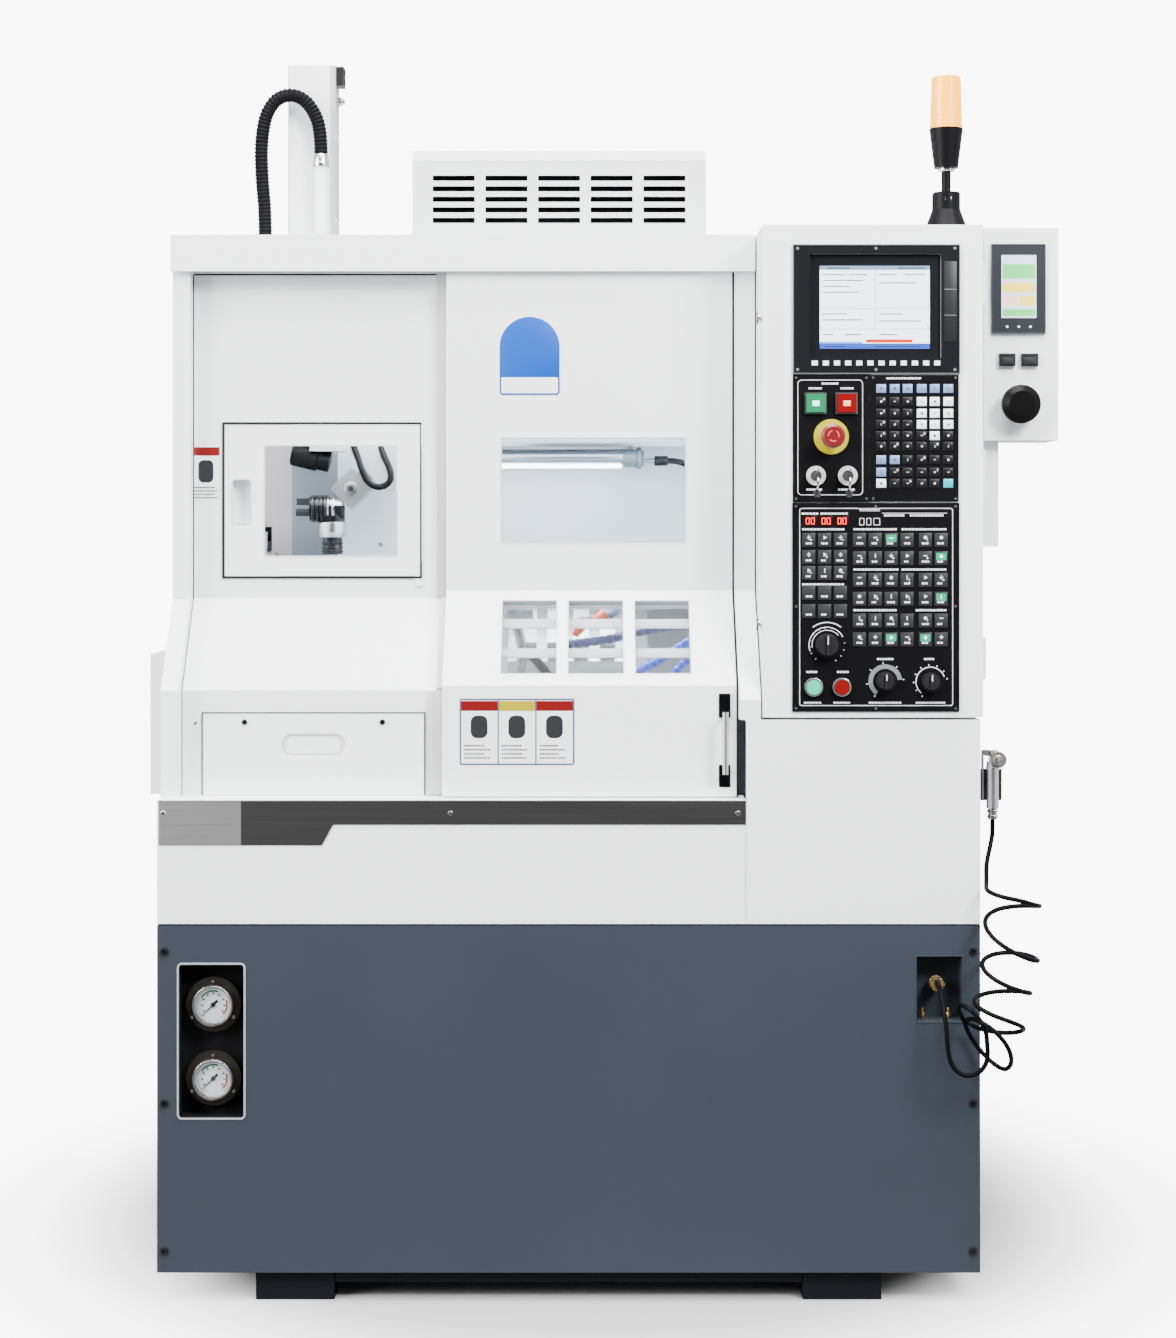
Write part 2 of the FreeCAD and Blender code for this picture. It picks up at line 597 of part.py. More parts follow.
def controls():
    bezels = [ring(446, 1472, 30, "11 + running_gap", 3), ring(416, 1047, 15.3, "12.4 + gap", 6),
              ring(464, 1047, 15.3, "12.4 + gap", 6)]
    for x in (420, 474):
        bezels.append(ring(x, 1406, 16.5, "9.4 + running_gap", 6))
    for x, z, r in ((439, 1118, 14), (538, 1057, 10), (615, 1056, 10)):
        bezels.append(ring(x, z, r, "4 + running_gap", 1))
    for x in (419.5, 472):
        frame = cut(box(f"{x} - 18.5", f"{x} + 18.5", "-board - 4", "-board", 1511, 1547),
                    box(f"{x} - 16 - gap", f"{x} + 16 + gap", "-board - 5", "-board + 1", "1513.5 - gap",
                        "1544.5 + gap"))
        bezels.append(frame)
    piece("button_bezels", group(bezels))
    head = turned("y", 446, "-board - 42", 1472, [
        ("0", "0"), ("16", "0"), ("20", "4"), ("20", "16"), ("11", "28"), ("11", "42"), ("0", "42")])
    piece("emergency_stop", head)
    for name, x in (("green_square_button", 419.5), ("red_square_button", 472)):
        piece(name, box(f"{x} - 16", f"{x} + 16", "-board - 9", "-board", 1513.5, 1544.5))
    for name, x in (("green_round_button", 416), ("red_round_button", 464)):
        piece(name, rod("y", x, "-board - 11", 1047, 12.4, 11))
    for name, x in (("left_key_switch", 420), ("right_key_switch", 474)):
        core = rod("y", x, "-board - 8", 1406, 9.4, 8)
        bow = fused(box(f"{x} - 1.2", f"{x} + 1.2", "-board - 16", "-board - 8", 1402, 1410),
                    box(f"{x} - 1.2", f"{x} + 1.2", "-board - 40", "-board - 16", 1395, 1417))
        piece(name, fused(core, bow))
    for name, x, z, r in (("mode_knob", 439, 1118, 20), ("feed_override_knob", 538, 1057, 16),
                          ("speed_override_knob", 615, 1056, 16)):
        cap = rod("y", x, "-board - 18", z, f"{r} - 3", "16 - gap", r)
        stem = rod("y", x, "-board - 2 - gap", z, 4, "2 + gap")
        rib = box(f"{x} - 2.5", f"{x} + 2.5", "-board - 22", "-board - 18", f"{z} - {r} + 4", f"{z} + {r} - 4")
        piece(name, fused(cap, stem, rib))


def console():
    body = cut(box("console_left", "console_right", "console_front", "console_front + console_deep",
                   "console_bottom", "roof_top"),
               rod("y", 773, "console_front - 1", 1529, "12 + running_gap", 30),
               box("console_left + 4", "console_right - 4", "console_front + skin", "console_front + console_deep - 4",
                   1590, "roof_top - 4"))
    bracket = box("box_right", "console_left", 90, 150, "console_bottom + 30", "roof_top - 30")
    duct = box("box_right", 743, 70, 120, 1285, "console_bottom")
    caps = [box(739, 767, "console_front - 8", "console_front", 1595, 1617),
            box(777, 806, "console_front - 8", "console_front", 1595, 1617)]
    touch = box(726, 819, "console_front - 5", "console_front", 1651, 1805)
    piece("loader_console", fused(body, bracket, duct, touch, *caps))
    piece("palm_button", turned("y", 773, "console_front - 40", 1529, [
        ("0", "0"), ("22", "0"), ("33", "9"), ("33", "20"), ("24", "28"), ("12", "28"), ("12", "60"), ("0", "60")]))


def lamp():
    base_cone = rod("z", "lamp_x", "lamp_y", "roof_top", 37.5, 35, 24.5)
    knuckle = cut(rod("z", "lamp_x", "lamp_y", "roof_top + 35", 24.5, 30), box(
        "lamp_x - 40", "lamp_x + 40", "lamp_y - 8 - gap", "lamp_y + 8 + gap", "roof_top + 37", "roof_top + 80"))
    bolt = rod("y", "lamp_x", "lamp_y - 22", "roof_top + 52", 5, 44)
    piece("lamp_base", fused(base_cone, knuckle, bolt))
    eye = cut(rod("y", "lamp_x", "lamp_y - 8", "roof_top + 52", 14.5, 16),
              rod("y", "lamp_x", "lamp_y - 9", "roof_top + 52", "5 + running_gap", 18))
    stem = cut(rod("z", "lamp_x", "lamp_y", "roof_top + 60", 8, 53),
               rod("y", "lamp_x", "lamp_y - 9", "roof_top + 52", 9, 18))
    cup = rod("z", "lamp_x", "lamp_y", "roof_top + 108", 20.5, 68, 29)
    piece("lamp_housing", fused(eye, stem, cup))
    piece("lamp_lens", rod("z", "lamp_x", "lamp_y", "roof_top + 176", 27.5, 88, 25))


# ---------------------------------------------------------------- spindle, bed and slides
def bed():
    back = "bed_front + bed_rise"
    top = "bed_low + bed_rise"
    casting = prism("yz", "bed_left", "bed_right", [
        ("bed_front - 100", "base_top"), ("bed_front - 100", "bed_low - 40"), ("bed_front - 40", "bed_low - 40"),
        ("bed_front", "bed_low"), (back, top), ("bed_back", top), ("bed_back", "base_top")])
    core = box("bed_left + 60", "bed_right - 60", "bed_front + bed_rise / 2", 1100, "base_top + 50", "bed_low + 150")
    rails = [on_bed("-540", "bed_right - 10", along, f"{along} + rail_wide", -1, "rail_high")
             for along in ("230", "520")]
    piece("bed_casting", fused(cut(casting, core), *rails))
    block = cut(box("head_left", "head_right", "spindle_y - 90", "spindle_y + 90", "spindle_z - 90", "spindle_z + 90"),
                rod("x", "head_left - 1", "spindle_y", "spindle_z", "spindle_bore + running_gap", 400))
    leg = prism("yz", "bed_left", "head_right", [
        ("bed_front", "bed_low"), ("bed_front", "spindle_z - 90"), ("spindle_y + 90", "spindle_z - 90"),
        ("spindle_y + 90", "bed_low + spindle_y + 90 - bed_front")])
    piece("headstock", fused(block, leg))
    top = "bed_low + bed_rise"
    motor = rod("x", "bed_left", "bed_back - 30", f"{top} + 130", 70, 260)
    foot = box("bed_left", "bed_left + 200", "bed_back - 48", "bed_back - 2", top, f"{top} + 70")
    piece("spindle_motor", fused(motor, foot))
    spindle = turned("x", "head_left", "spindle_y", "spindle_z", [
        ("12", "0"), ("spindle_bore", "0"), ("spindle_bore", "head_right - head_left + 0.5"),
        ("spindle_nose", "head_right - head_left + 0.5"), ("spindle_nose", "head_right - head_left + 30"),
        ("38", "nose_right - head_left"), ("12", "nose_right - head_left")])
    piece("collet_spindle", spindle)


def on_bed(x0, x1, along0, along1, high0, high1):
    """A block on the bed's slope: along it from its front edge, and high above it."""
    made = doc.addObject("Part::Box", "bed_block")
    bind(made, Length=f"({x1}) - ({x0})", Width=f"({along1}) - ({along0})", Height=f"({high1}) - ({high0})")
    made.Placement.Rotation = FreeCAD.Rotation(FreeCAD.Vector(1, 0, 0), 45)
    place(made, x0, f"bed_front + (({along0}) - ({high0})) * sqrt(0.5)",
          f"bed_low + (({along0}) + ({high0})) * sqrt(0.5)")
    return made


def slides():
    high = "rail_high + carriage_thick"
    saddle = on_bed(-150, 150, 200, 580, "gap", high)
    grooves = [on_bed(-151, 151, f"{along} - gap", f"{along} + rail_wide + gap", 0, "rail_high + gap")
               for along in ("230", "520")]
    cross = [on_bed(-100, -70, 200, 580, high, f"{high} + 18"), on_bed(70, 100, 200, 580, high, f"{high} + 18")]
    piece("carriage", fused(cut(saddle, *grooves), *cross))
    low = f"{high} + 18 + gap"
    table = on_bed(-120, 120, 260, 500, low, f"{low} + slide_thick")
    tools = []
    for k in range(4):
        left = f"-95 + {k} * 50"
        tools.append(on_bed(left, f"{left} + 30", 280, 470, f"{low} + slide_thick", f"{low} + slide_thick + 32"))
    piece("cross_slide", fused(table, *tools))


# ---------------------------------------------------------------- loader
def loader():
    left, right, front = "column_left", "column_right", "column_front"
    back = "column_front + column_deep"
    column = box(left, right, front, back, "column_bottom", "column_top")
    plugs = [box(right, f"{right} + 23", f"{front} + 10", f"{front} + 45", 2156, 2192),
             box(right, f"{right} + 8", front, back, 1870, 2192)]
    conduit = [rod("z", "conduit_x", f"{front} - 18", 1650, "conduit_radius", "conduit_top - 1650")]
    for z in (1700, 1990):
        conduit.append(box("conduit_x - 8", "conduit_x + 8", f"{front} - 8", front, z, f"{z} + 20"))
    x, y, z = size("head_x"), size("spindle_y"), size("head_z")
    bottom, reach = size("column_bottom"), size("pivot_reach") / math.sqrt(2)
    low, wide = 35, 50
    outline = [(x - 78, bottom), (x - 78, z + reach + wide - 10), (x + reach - wide + 10, z + reach + wide - 10),
               (x + reach + low, z + reach - low), (x + reach + low + 20, z + reach - low),
               (x + reach + low + 20, bottom)]
    corners = [FreeCAD.Vector(u, y - 30, v) for u, v in outline]
    carrier = Part.Face(Part.makePolygon(corners + corners[:1])).extrude(FreeCAD.Vector(0, 60, 0))
    upwards = FreeCAD.Vector(1, 0, 1)
    shaft = size("pivot_shaft")
    bore = Part.makeCylinder(shaft + size("running_gap"), size("pivot_reach") + 22, FreeCAD.Vector(x, y, z), upwards)
    piece("loader_column", fused(column, *plugs, *conduit, shaped(carrier.cut(bore))))
    collar = cut(box(f"{left} - 60", f"{right} + 45", f"{front} - 50", f"{back} + 30", "roof_top", "roof_top + 20"),
                 box(f"{left} - gap", f"{right} + 8 + gap", f"{front} - gap", f"{back} + gap", 1800, 1900),
                 box("conduit_x - conduit_radius - 1", "conduit_x + conduit_radius + 1",
                     f"{front} - 18 - conduit_radius - 1", front, 1800, 1900))
    guide = box(f"{left} - 10", f"{left} - gap", front, back, "roof_top - 90", "roof_top")
    gland = rod("z", "loom_x", "loom_y", "roof_top + 20", 19, 8)
    piece("loader_mount", fused(collar, guide, gland))
    hub = Part.makeBox(56, 52, 56, FreeCAD.Vector(-28, -26, -28))
    turn = FreeCAD.Placement(FreeCAD.Vector(x, y, z), FreeCAD.Rotation(FreeCAD.Vector(0, 1, 0), 45))
    hub = hub.transformed(turn.toMatrix(), copy=True)
    pivot = Part.makeCylinder(14, size("pivot_reach") - size("gap"), FreeCAD.Vector(x, y, z), upwards)
    pin = Part.makeCylinder(shaft, size("pivot_reach") + 20, FreeCAD.Vector(x, y, z), upwards)
    grip = size("grip_drop")
    west = Part.makeCylinder(24, 62, FreeCAD.Vector(x - 80, y, z - grip), FreeCAD.Vector(1, 0, 0))
    south = Part.makeCylinder(24, 62, FreeCAD.Vector(x - grip, y, z - 92), FreeCAD.Vector(0, 0, 1))
    piece("gripper_head", shaped(hub.fuse([pivot, pin, west, south]).removeSplitter()))
    for number, angle in ((1, 0), (2, 120), (3, 240)):
        finger = Part.makeBox(26, 9, 13, FreeCAD.Vector(-26, -4.5, 7))
        turn = FreeCAD.Placement(FreeCAD.Vector(x - 80, y, z - grip),
                                 FreeCAD.Rotation(FreeCAD.Vector(1, 0, 0), angle))
        piece(f"gripper_jaw_{number}", shaped(finger.transformed(turn.toMatrix(), copy=True)))


# ---------------------------------------------------------------- flexible hoses and the air gun
def route(points, radius):
    """A tube of straight runs joined by tangent arcs, each as large as its two runs allow."""
    spots = [FreeCAD.Vector(*p) for p in points]
    edges = []
    start = spots[0]
    bends = []
    for before, here, after in zip(spots, spots[1:], spots[2:]):
        back, on = (before - here), (after - here)
        turn = math.pi - back.getAngle(on)
        reach = 0.45 * min(back.Length, on.Length)
        bends.append(reach / math.tan(turn / 2))
        into, out = here + back.normalize() * reach, here + on.normalize() * reach
        chord = (into + out) * 0.5
        depth = bends[-1] * (1 / math.cos(turn / 2) - 1)
        middle = here + (chord - here).normalize() * depth
        edges.append(Part.LineSegment(start, into).toShape())
        edges.append(Part.Arc(into, middle, out).toShape())
        start = out
    edges.append(Part.LineSegment(start, spots[-1]).toShape())
    path = Part.Wire(edges)
    ring_face = Part.Circle(spots[0], (spots[1] - spots[0]), radius).toShape()
    tube = path.makePipeShell([Part.Wire([ring_face])], True, True)
    print(f"tube of {path.Length:.0f} mm, radii {[round(b) for b in bends]},"
          f" volume {tube.Volume / (math.pi * radius ** 2 * path.Length):.4f} of the plain one")
    return tube


LOOM = [(-574, 425, 1861), (-574, 425, 1912), (-580, 425, 1972), (-582, 425, 2040), (-573, 425, 2098),
        (-547, 426, 2131), (-510, 427, 2132), (-483, 430, 2104), (-470, 432, 2064), (-470, 432, 2021)]
HOSE_TOP = [(731, 60, 815), (731, 60, 796), (729, 57, 778), (722, 46, 760), (716, 30, 745), (713, 15, 732),
            (712, 5, 718), (712, 0, 704), (712, 0, 690)]
HOSE_END = [(712, -64, 442), (712, -64, 426), (705, -66, 411), (691, -68, 402), (675, -68, 403), (661, -67, 413),
            (651, -66, 430), (643, -64, 452), (637, -61, 476), (632, -54, 499), (629, -41, 520), (628, -26, 534),
            (628, -8, 540), (628, 12, 540)]
COIL = [(752, -12, 690), (744, -46, 600), (734, -62, 520), (712, -64, 442)]


def hoses():
    piece("loader_loom", shaped(route(LOOM, 13)))
    bore = size("hose_bore")
    piece("air_hose", group([shaped(route(HOSE_TOP, bore)), shaped(route(HOSE_END, bore))]))
    rings = [Part.Wire([Part.Circle(FreeCAD.Vector(x, y, z), FreeCAD.Vector(0, 0, 1), 50).toShape()])
             for x, y, z in COIL]
    piece("air_hose_coil", shaped(Part.makeLoft(rings, True, True)))


def air_gun():
    x, y = "base_wide / 2 + gun_out", "gun_y"
    plate = box("base_wide / 2", f"{x} + 18", f"{y} + 10.5 + gap", f"{y} + 18.5", 846, 900)
    piece("gun_holster", plate)
    parts = [rod("z", x, y, 834, 10.5, 80), rod("y", f"{x} + 8", f"{y} - 14", 918, 14, 24),
             rod("y", f"{x} + 8", f"{y} - 46", 918, 5, 32),
             rod("z", x, y, 815, 7.5, 19), box(f"{x} - 14", f"{x} + 8", f"{y} - 2", f"{y} + 2", 924, 934),
             rod("y", f"{x} - 11", f"{y} - 7", 930, "pin", 14)]
    piece("air_gun", fused(*parts))
    lever = [box(f"{x} - 19", f"{x} - 16", f"{y} - 6", f"{y} + 6", 850, 934)]
    for y0, y1 in ((f"{y} - 6", f"{y} - 2 - gap"), (f"{y} + 2 + gap", f"{y} + 6")):
        lever.append(box(f"{x} - 16", f"{x} - 7", y0, y1, 926, 934))
    piece("gun_trigger", cut(fused(*lever), rod("y", f"{x} - 11", f"{y} - 8", 930, "pin + running_gap", 16)))


def fasteners():
    heads = []
    for x in (-687.5, 687.5):
        for z in (597, 339, 88):
            heads.append(rod("y", x, -4, z, 4.5, 4, 7))
    for x in (-689, -201, 288):
        heads.append(rod("y", x, -4, 832, 3, 2.5, 5))
    for x in (-560, -322):
        heads.append(rod("y", x, "fixed_low - 4", 982, 4, 2, 6))
    piece("cover_screws", group(heads))


for build in (base, gauges, lower_front, enclosure, roof, main_door, hatch, control_box, boards, controls,
              console, lamp, bed, slides, loader, hoses, air_gun, fasteners):
    build()
doc.recompute()

for thing in doc.Objects:
    if "Invalid" in thing.State or "Error" in thing.State:
        raise RuntimeError(f"{thing.Name} ({thing.Label}) failed: {thing.State}")
os.makedirs("parts", exist_ok=True)
for made in PIECES:
    if made.Shape.isNull() or not made.Shape.isValid():
        raise RuntimeError(f"{made.Label} has no valid shape")
for made in PIECES:
    made.Shape.exportStep(f"parts/{made.Label}.step")
print(f"{len(PIECES)} pieces")
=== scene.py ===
import math

import bmesh
import bpy
from mathutils import Matrix, Vector


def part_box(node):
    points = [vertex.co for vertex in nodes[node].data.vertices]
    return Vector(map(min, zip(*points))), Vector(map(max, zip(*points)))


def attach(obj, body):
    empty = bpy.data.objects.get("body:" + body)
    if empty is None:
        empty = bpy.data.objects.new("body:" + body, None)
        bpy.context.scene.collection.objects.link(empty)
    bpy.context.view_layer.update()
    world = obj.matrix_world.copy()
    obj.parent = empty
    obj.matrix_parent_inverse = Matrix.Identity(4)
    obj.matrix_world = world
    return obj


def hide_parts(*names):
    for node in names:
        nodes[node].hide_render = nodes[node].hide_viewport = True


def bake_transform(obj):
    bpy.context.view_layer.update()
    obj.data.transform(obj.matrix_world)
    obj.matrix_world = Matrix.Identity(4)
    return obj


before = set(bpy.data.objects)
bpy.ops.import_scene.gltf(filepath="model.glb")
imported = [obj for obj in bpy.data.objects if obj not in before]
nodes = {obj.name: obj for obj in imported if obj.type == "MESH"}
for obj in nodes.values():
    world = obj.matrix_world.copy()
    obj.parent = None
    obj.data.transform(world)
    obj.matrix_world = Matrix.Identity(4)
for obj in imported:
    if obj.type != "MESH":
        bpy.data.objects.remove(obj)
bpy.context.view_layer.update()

# ---------------------------------------------------------------- camera, light and floor
# A level camera four metres in front of the casing, with its view shifted down to the feet.
# Broad soft light falls from high on the right, from the left and from above, and two small lights
# stand inside the machine. The room is white all round, and darker in front. The floor is painted shade: dark
# grey near the machine, fading into the white backdrop.
MM = 0.001
casing_low, casing_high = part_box("base_casing")
MIDDLE = (casing_low[0] + casing_high[0]) / 2
FRONT = casing_low[1]


def at(x, y, z):
    """A point measured in millimetres from the middle of the casing's front edge at the floor."""
    return Vector((MIDDLE + x * MM, FRONT + y * MM, z * MM))


camera = bpy.data.cameras.new("camera")
camera.lens = 63.3
camera.shift_y = -0.104
viewer = bpy.data.objects.new("camera", camera)
viewer.location = at(33, -4000, 1314)
viewer.rotation_euler = (math.pi / 2, 0, 0)
bpy.context.collection.objects.link(viewer)
bpy.context.scene.camera = viewer


def soft_light(name, place, aim, size, watts, colour=(1, 1, 1)):
    """A round area light of a size in metres, turned to what it lights."""
    lamp = bpy.data.lights.new(name, "AREA")
    lamp.shape = "DISK"
    lamp.size = size
    lamp.energy = watts
    lamp.color = colour
    holder = bpy.data.objects.new(name, lamp)
    holder.location = place
    holder.rotation_euler = (aim - place).to_track_quat("-Z", "Y").to_euler()
    bpy.context.collection.objects.link(holder)


soft_light("key", at(2600, -3000, 3900), at(0, 200, 1100), 1.6, 530)
soft_light("fill", at(-3800, -2200, 2600), at(0, 200, 1000), 3.0, 480)
soft_light("overhead", at(0, -900, 5200), at(0, 300, 900), 3.5, 840)
soft_light("chamber_glow", at(40, 420, 1740), at(40, 420, 1200), 0.25, 36, (0.9, 0.96, 1))
soft_light("bay_glow", at(-400, 330, 1700), at(-430, 480, 1350), 0.3, 11, (0.97, 0.98, 1))


def plug(tree, node, **sockets):
    """Sets a node's inputs: a plain value, or (node, output) for a link. _0 is the first input."""
    for name, value in sockets.items():
        socket = node.inputs[int(name[1:]) if name[0] == "_" else name.replace("_", " ")]
        if isinstance(value, tuple) and isinstance(value[0], bpy.types.Node):
            tree.links.new(value[0].outputs[value[1]], socket)
        else:
            socket.default_value = value


def step(tree, kind, mode=None, **sockets):
    """Adds a node, with its settings and then its inputs."""
    node = tree.nodes.new(kind)
    for name, value in (mode or {}).items():
        setattr(node, name, value)
    plug(tree, node, **sockets)
    return node


ROOM_WHITE = (1, 1, 1, 1)
ROOM_FRONT = (0.09, 0.09, 0.095, 1)
ROOM_STRENGTH = 1.5
BACKDROP_STRENGTH = 12
world = bpy.data.worlds.new("studio")
bpy.context.scene.world = world
world.use_nodes = True
studio = world.node_tree
facing = step(studio, "ShaderNodeTexCoord")
ahead = step(studio, "ShaderNodeVectorMath", {"operation": "DOT_PRODUCT"}, _0=(facing, "Generated"),
             _1=(0, -1, 0))
wall = step(studio, "ShaderNodeValToRGB", Fac=(ahead, "Value"))
for end, position, shade in zip(wall.color_ramp.elements, (0.55, 0.9), (ROOM_WHITE, ROOM_FRONT)):
    end.position = position
    end.color = shade
dome = studio.nodes["Background"]
plug(studio, dome, Color=(wall, "Color"), Strength=ROOM_STRENGTH)
backdrop = step(studio, "ShaderNodeBackground", Strength=BACKDROP_STRENGTH)
seen = step(studio, "ShaderNodeLightPath")
either = step(studio, "ShaderNodeMixShader", _0=(seen, "Is Camera Ray"), _1=(dome, 0), _2=(backdrop, 0))
plug(studio, studio.nodes["World Output"], Surface=(either, "Shader"))

bpy.ops.mesh.primitive_plane_add(size=6)
floor = bpy.context.object
floor.name = "floor"
# Painted shade: the floor's dark grey fades out between 0.7 and 1.35 metres from the middle.
pale = bpy.data.materials.new("floor_painted_shade")
pale.use_nodes = True
floor_nodes = pale.node_tree
where = step(floor_nodes, "ShaderNodeTexCoord")
away = step(floor_nodes, "ShaderNodeVectorMath", {"operation": "LENGTH"}, _0=(where, "Object"))
fade = step(floor_nodes, "ShaderNodeMapRange", {"interpolation_type": "SMOOTHSTEP"}, Value=(away, "Value"),
            From_Min=0.7, From_Max=1.35, To_Min=1, To_Max=0)
plug(floor_nodes, floor_nodes.nodes["Principled BSDF"], Base_Color=(0.34, 0.34, 0.345, 1), Roughness=0.9,
     Specular_IOR_Level=0, Alpha=(fade, "Result"))
floor.data.materials.append(pale)


# ---------------------------------------------------------------- slate base
# The base casing is folded sheet with a rough slate powder coat; its two recesses are darker pans.
# Button-head screws hold it. The coat's recipe is a node group that every painted piece uses.
def new_group(name, kind, inputs, outputs):
    """An empty node group with named sockets, and its input and output nodes."""
    tree = bpy.data.node_groups.new(name, kind)
    for way, sockets in (("INPUT", inputs), ("OUTPUT", outputs)):
        for label, sort, *preset in sockets:
            socket = tree.interface.new_socket(label, in_out=way, socket_type="NodeSocket" + sort)
            for value in preset:
                socket.default_value = value
    return tree, tree.nodes.new("NodeGroupInput"), tree.nodes.new("NodeGroupOutput")


def maths(tree, operation, *values, kind="ShaderNodeMath"):
    """A node that calculates with numbers, or with vectors if its kind says so."""
    return step(tree, kind, {"operation": operation}, **{f"_{k}": value for k, value in enumerate(values)})


VECTORS = "ShaderNodeVectorMath"
coat, into, out = new_group(
    "coat_variation", "ShaderNodeTree",
    [("Colour", "Color", (1, 1, 1, 1)), ("Shade Range", "Float", 0.05), ("Shade Scale", "Float", 3),
     ("Grain Scale", "Float", 900), ("Roughness", "Float", 0.4), ("Roughness Range", "Float", 0.1),
     ("Stretch", "Vector", (1, 1, 1))],
    [("Colour", "Color"), ("Roughness", "Float"), ("Height", "Float")])
where = step(coat, "ShaderNodeTexCoord")
pulled = maths(coat, "MULTIPLY", (where, "Object"), (into, "Stretch"), kind=VECTORS)
clouds = step(coat, "ShaderNodeTexNoise", Detail=3, Vector=(pulled, 0), Scale=(into, "Shade Scale"))
grain = step(coat, "ShaderNodeTexNoise", Detail=2, Vector=(pulled, 0), Scale=(into, "Grain Scale"))
middle = maths(coat, "SUBTRACT", (clouds, "Fac"), 0.5)
shade = maths(coat, "MULTIPLY_ADD", (middle, 0), (into, "Shade Range"), 1)
tint = step(coat, "ShaderNodeHueSaturation", Color=(into, "Colour"), Value=(shade, 0))
gloss = maths(coat, "MULTIPLY_ADD", (middle, 0), (into, "Roughness Range"), (into, "Roughness"))
plug(coat, out, Colour=(tint, "Color"), Roughness=(gloss, 0), Height=(grain, "Fac"))

patch, into, out = new_group("box_patch", "ShaderNodeTree",
                             [("Centre", "Vector", (0, 0, 0)), ("Half", "Vector", (1, 1, 1))],
                             [("Mask", "Float")])
where = step(patch, "ShaderNodeTexCoord")
offset = maths(patch, "SUBTRACT", (where, "Object"), (into, "Centre"), kind=VECTORS)
reach = maths(patch, "ABSOLUTE", (offset, 0), kind=VECTORS)
parts = step(patch, "ShaderNodeSeparateXYZ", _0=(reach, 0))
sizes = step(patch, "ShaderNodeSeparateXYZ", _0=(into, "Half"))
within = [maths(patch, "LESS_THAN", (parts, axis), (sizes, axis)) for axis in range(3)]
two = maths(patch, "MULTIPLY", (within[0], 0), (within[1], 0))
three = maths(patch, "MULTIPLY", (two, 0), (within[2], 0))
plug(patch, out, Mask=(three, 0))


def finish(name, colour, roughness=0.4, shade=0.04, shade_scale=2.5, grain_scale=900, grain_depth=0.02,
           stretch=(1, 1, 1), spread=0.1, patches=(), glow=None, **sockets):
    """A material of one coat, with patches of other colours given as (colour, low corner, high corner).
    The grain's depth is in millimetres. A glow lights it in its own colours."""
    material = bpy.data.materials.new(name)
    material.use_nodes = True
    tree = material.node_tree
    surface = tree.nodes["Principled BSDF"]
    recipe = step(tree, "ShaderNodeGroup", {"node_tree": coat}, Colour=(*colour, 1), Shade_Range=shade,
                  Shade_Scale=shade_scale, Grain_Scale=grain_scale, Roughness=roughness,
                  Roughness_Range=spread, Stretch=stretch)
    shown = (recipe, "Colour")
    for other, low, high in patches:
        mask = step(tree, "ShaderNodeGroup", {"node_tree": patch}, Centre=(low + high) / 2,
                    Half=(high - low) / 2)
        blend = step(tree, "ShaderNodeMix", {"data_type": "RGBA"}, _0=(mask, "Mask"), _6=shown,
                     _7=(*other, 1))
        shown = (blend, 2)
    bump = step(tree, "ShaderNodeBump", Strength=0.6, Distance=grain_depth * MM, Height=(recipe, "Height"))
    plug(tree, surface, Base_Color=shown, Roughness=(recipe, "Roughness"), Normal=(bump, "Normal"))
    if glow:
        plug(tree, surface, Emission_Color=shown, Emission_Strength=glow)
    plug(tree, surface, **sockets)
    return material


def paint(material, *names):
    """Puts a material in every slot of the named pieces of the construction."""
    for name in names:
        for slot in nodes[name].material_slots:
            slot.material = material


def block(mesh, x0, x1, y0, y1, z0, z1):
    """A box between two limits along each axis."""
    low, high = at(x0, y0, z0), at(x1, y1, z1)
    spot = Matrix.Translation((low + high) / 2) @ Matrix.Diagonal((*(high - low), 1))
    bmesh.ops.create_cube(mesh, size=1, matrix=spot)


TURN = {"x": Matrix.Rotation(math.pi / 2, 4, "Y"), "y": Matrix.Rotation(-math.pi / 2, 4, "X"),
        "z": Matrix.Identity(4)}


def rod(mesh, along, x, y, z, radius, length, tip=None, sides=40):
    """A cylinder, or a cone that ends at radius tip, from a point along one axis."""
    ahead = TURN[along] @ Vector((0, 0, length * MM / 2))
    spot = Matrix.Translation(at(x, y, z) + ahead) @ TURN[along]
    bmesh.ops.create_cone(mesh, cap_ends=True, segments=sides, radius1=radius * MM,
                          radius2=(radius if tip is None else tip) * MM, depth=length * MM, matrix=spot)


def spun(mesh, along, x, y, z, outline, sides=48):
    """A closed ring or bowl: the (radius, height) outline turned about an axis through a point."""
    spot = Matrix.Translation(at(x, y, z)) @ TURN[along]
    loops = []
    for k in range(sides):
        turn = 2 * math.pi * k / sides
        loops.append([mesh.verts.new(spot @ Vector((r * MM * math.cos(turn), r * MM * math.sin(turn),
                                                    h * MM)))
                      for r, h in outline])
    count = len(outline)
    for k in range(sides):
        here, after = loops[k], loops[(k + 1) % sides]
        for n in range(count):
            m = (n + 1) % count
            mesh.faces.new((here[n], after[n], after[m], here[m]))


SHARP = math.radians(35)
SMOOTH = math.radians(40)


def made(mesh, name, material, body, bevel=0.5):
    """Turns a bmesh into a finished piece with rounded edges that rides on a body."""
    bmesh.ops.remove_doubles(mesh, verts=mesh.verts, dist=1e-7)
    bmesh.ops.recalc_face_normals(mesh, faces=mesh.faces)
    if bevel:
        sharp = [e for e in mesh.edges if len(e.link_faces) == 2 and e.calc_face_angle(0) > SHARP]
        bmesh.ops.bevel(mesh, geom=sharp, offset=bevel * MM, segments=2, profile=0.5, affect="EDGES",
                        clamp_overlap=True)
    data = bpy.data.meshes.new(name)
    mesh.to_mesh(data)
    mesh.free()
    for face in data.polygons:
        face.use_smooth = True
    data.set_sharp_from_angle(angle=SMOOTH)
    data.materials.append(material)
    piece = bpy.data.objects.new(name, data)
    bpy.context.collection.objects.link(piece)
    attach(piece, body)


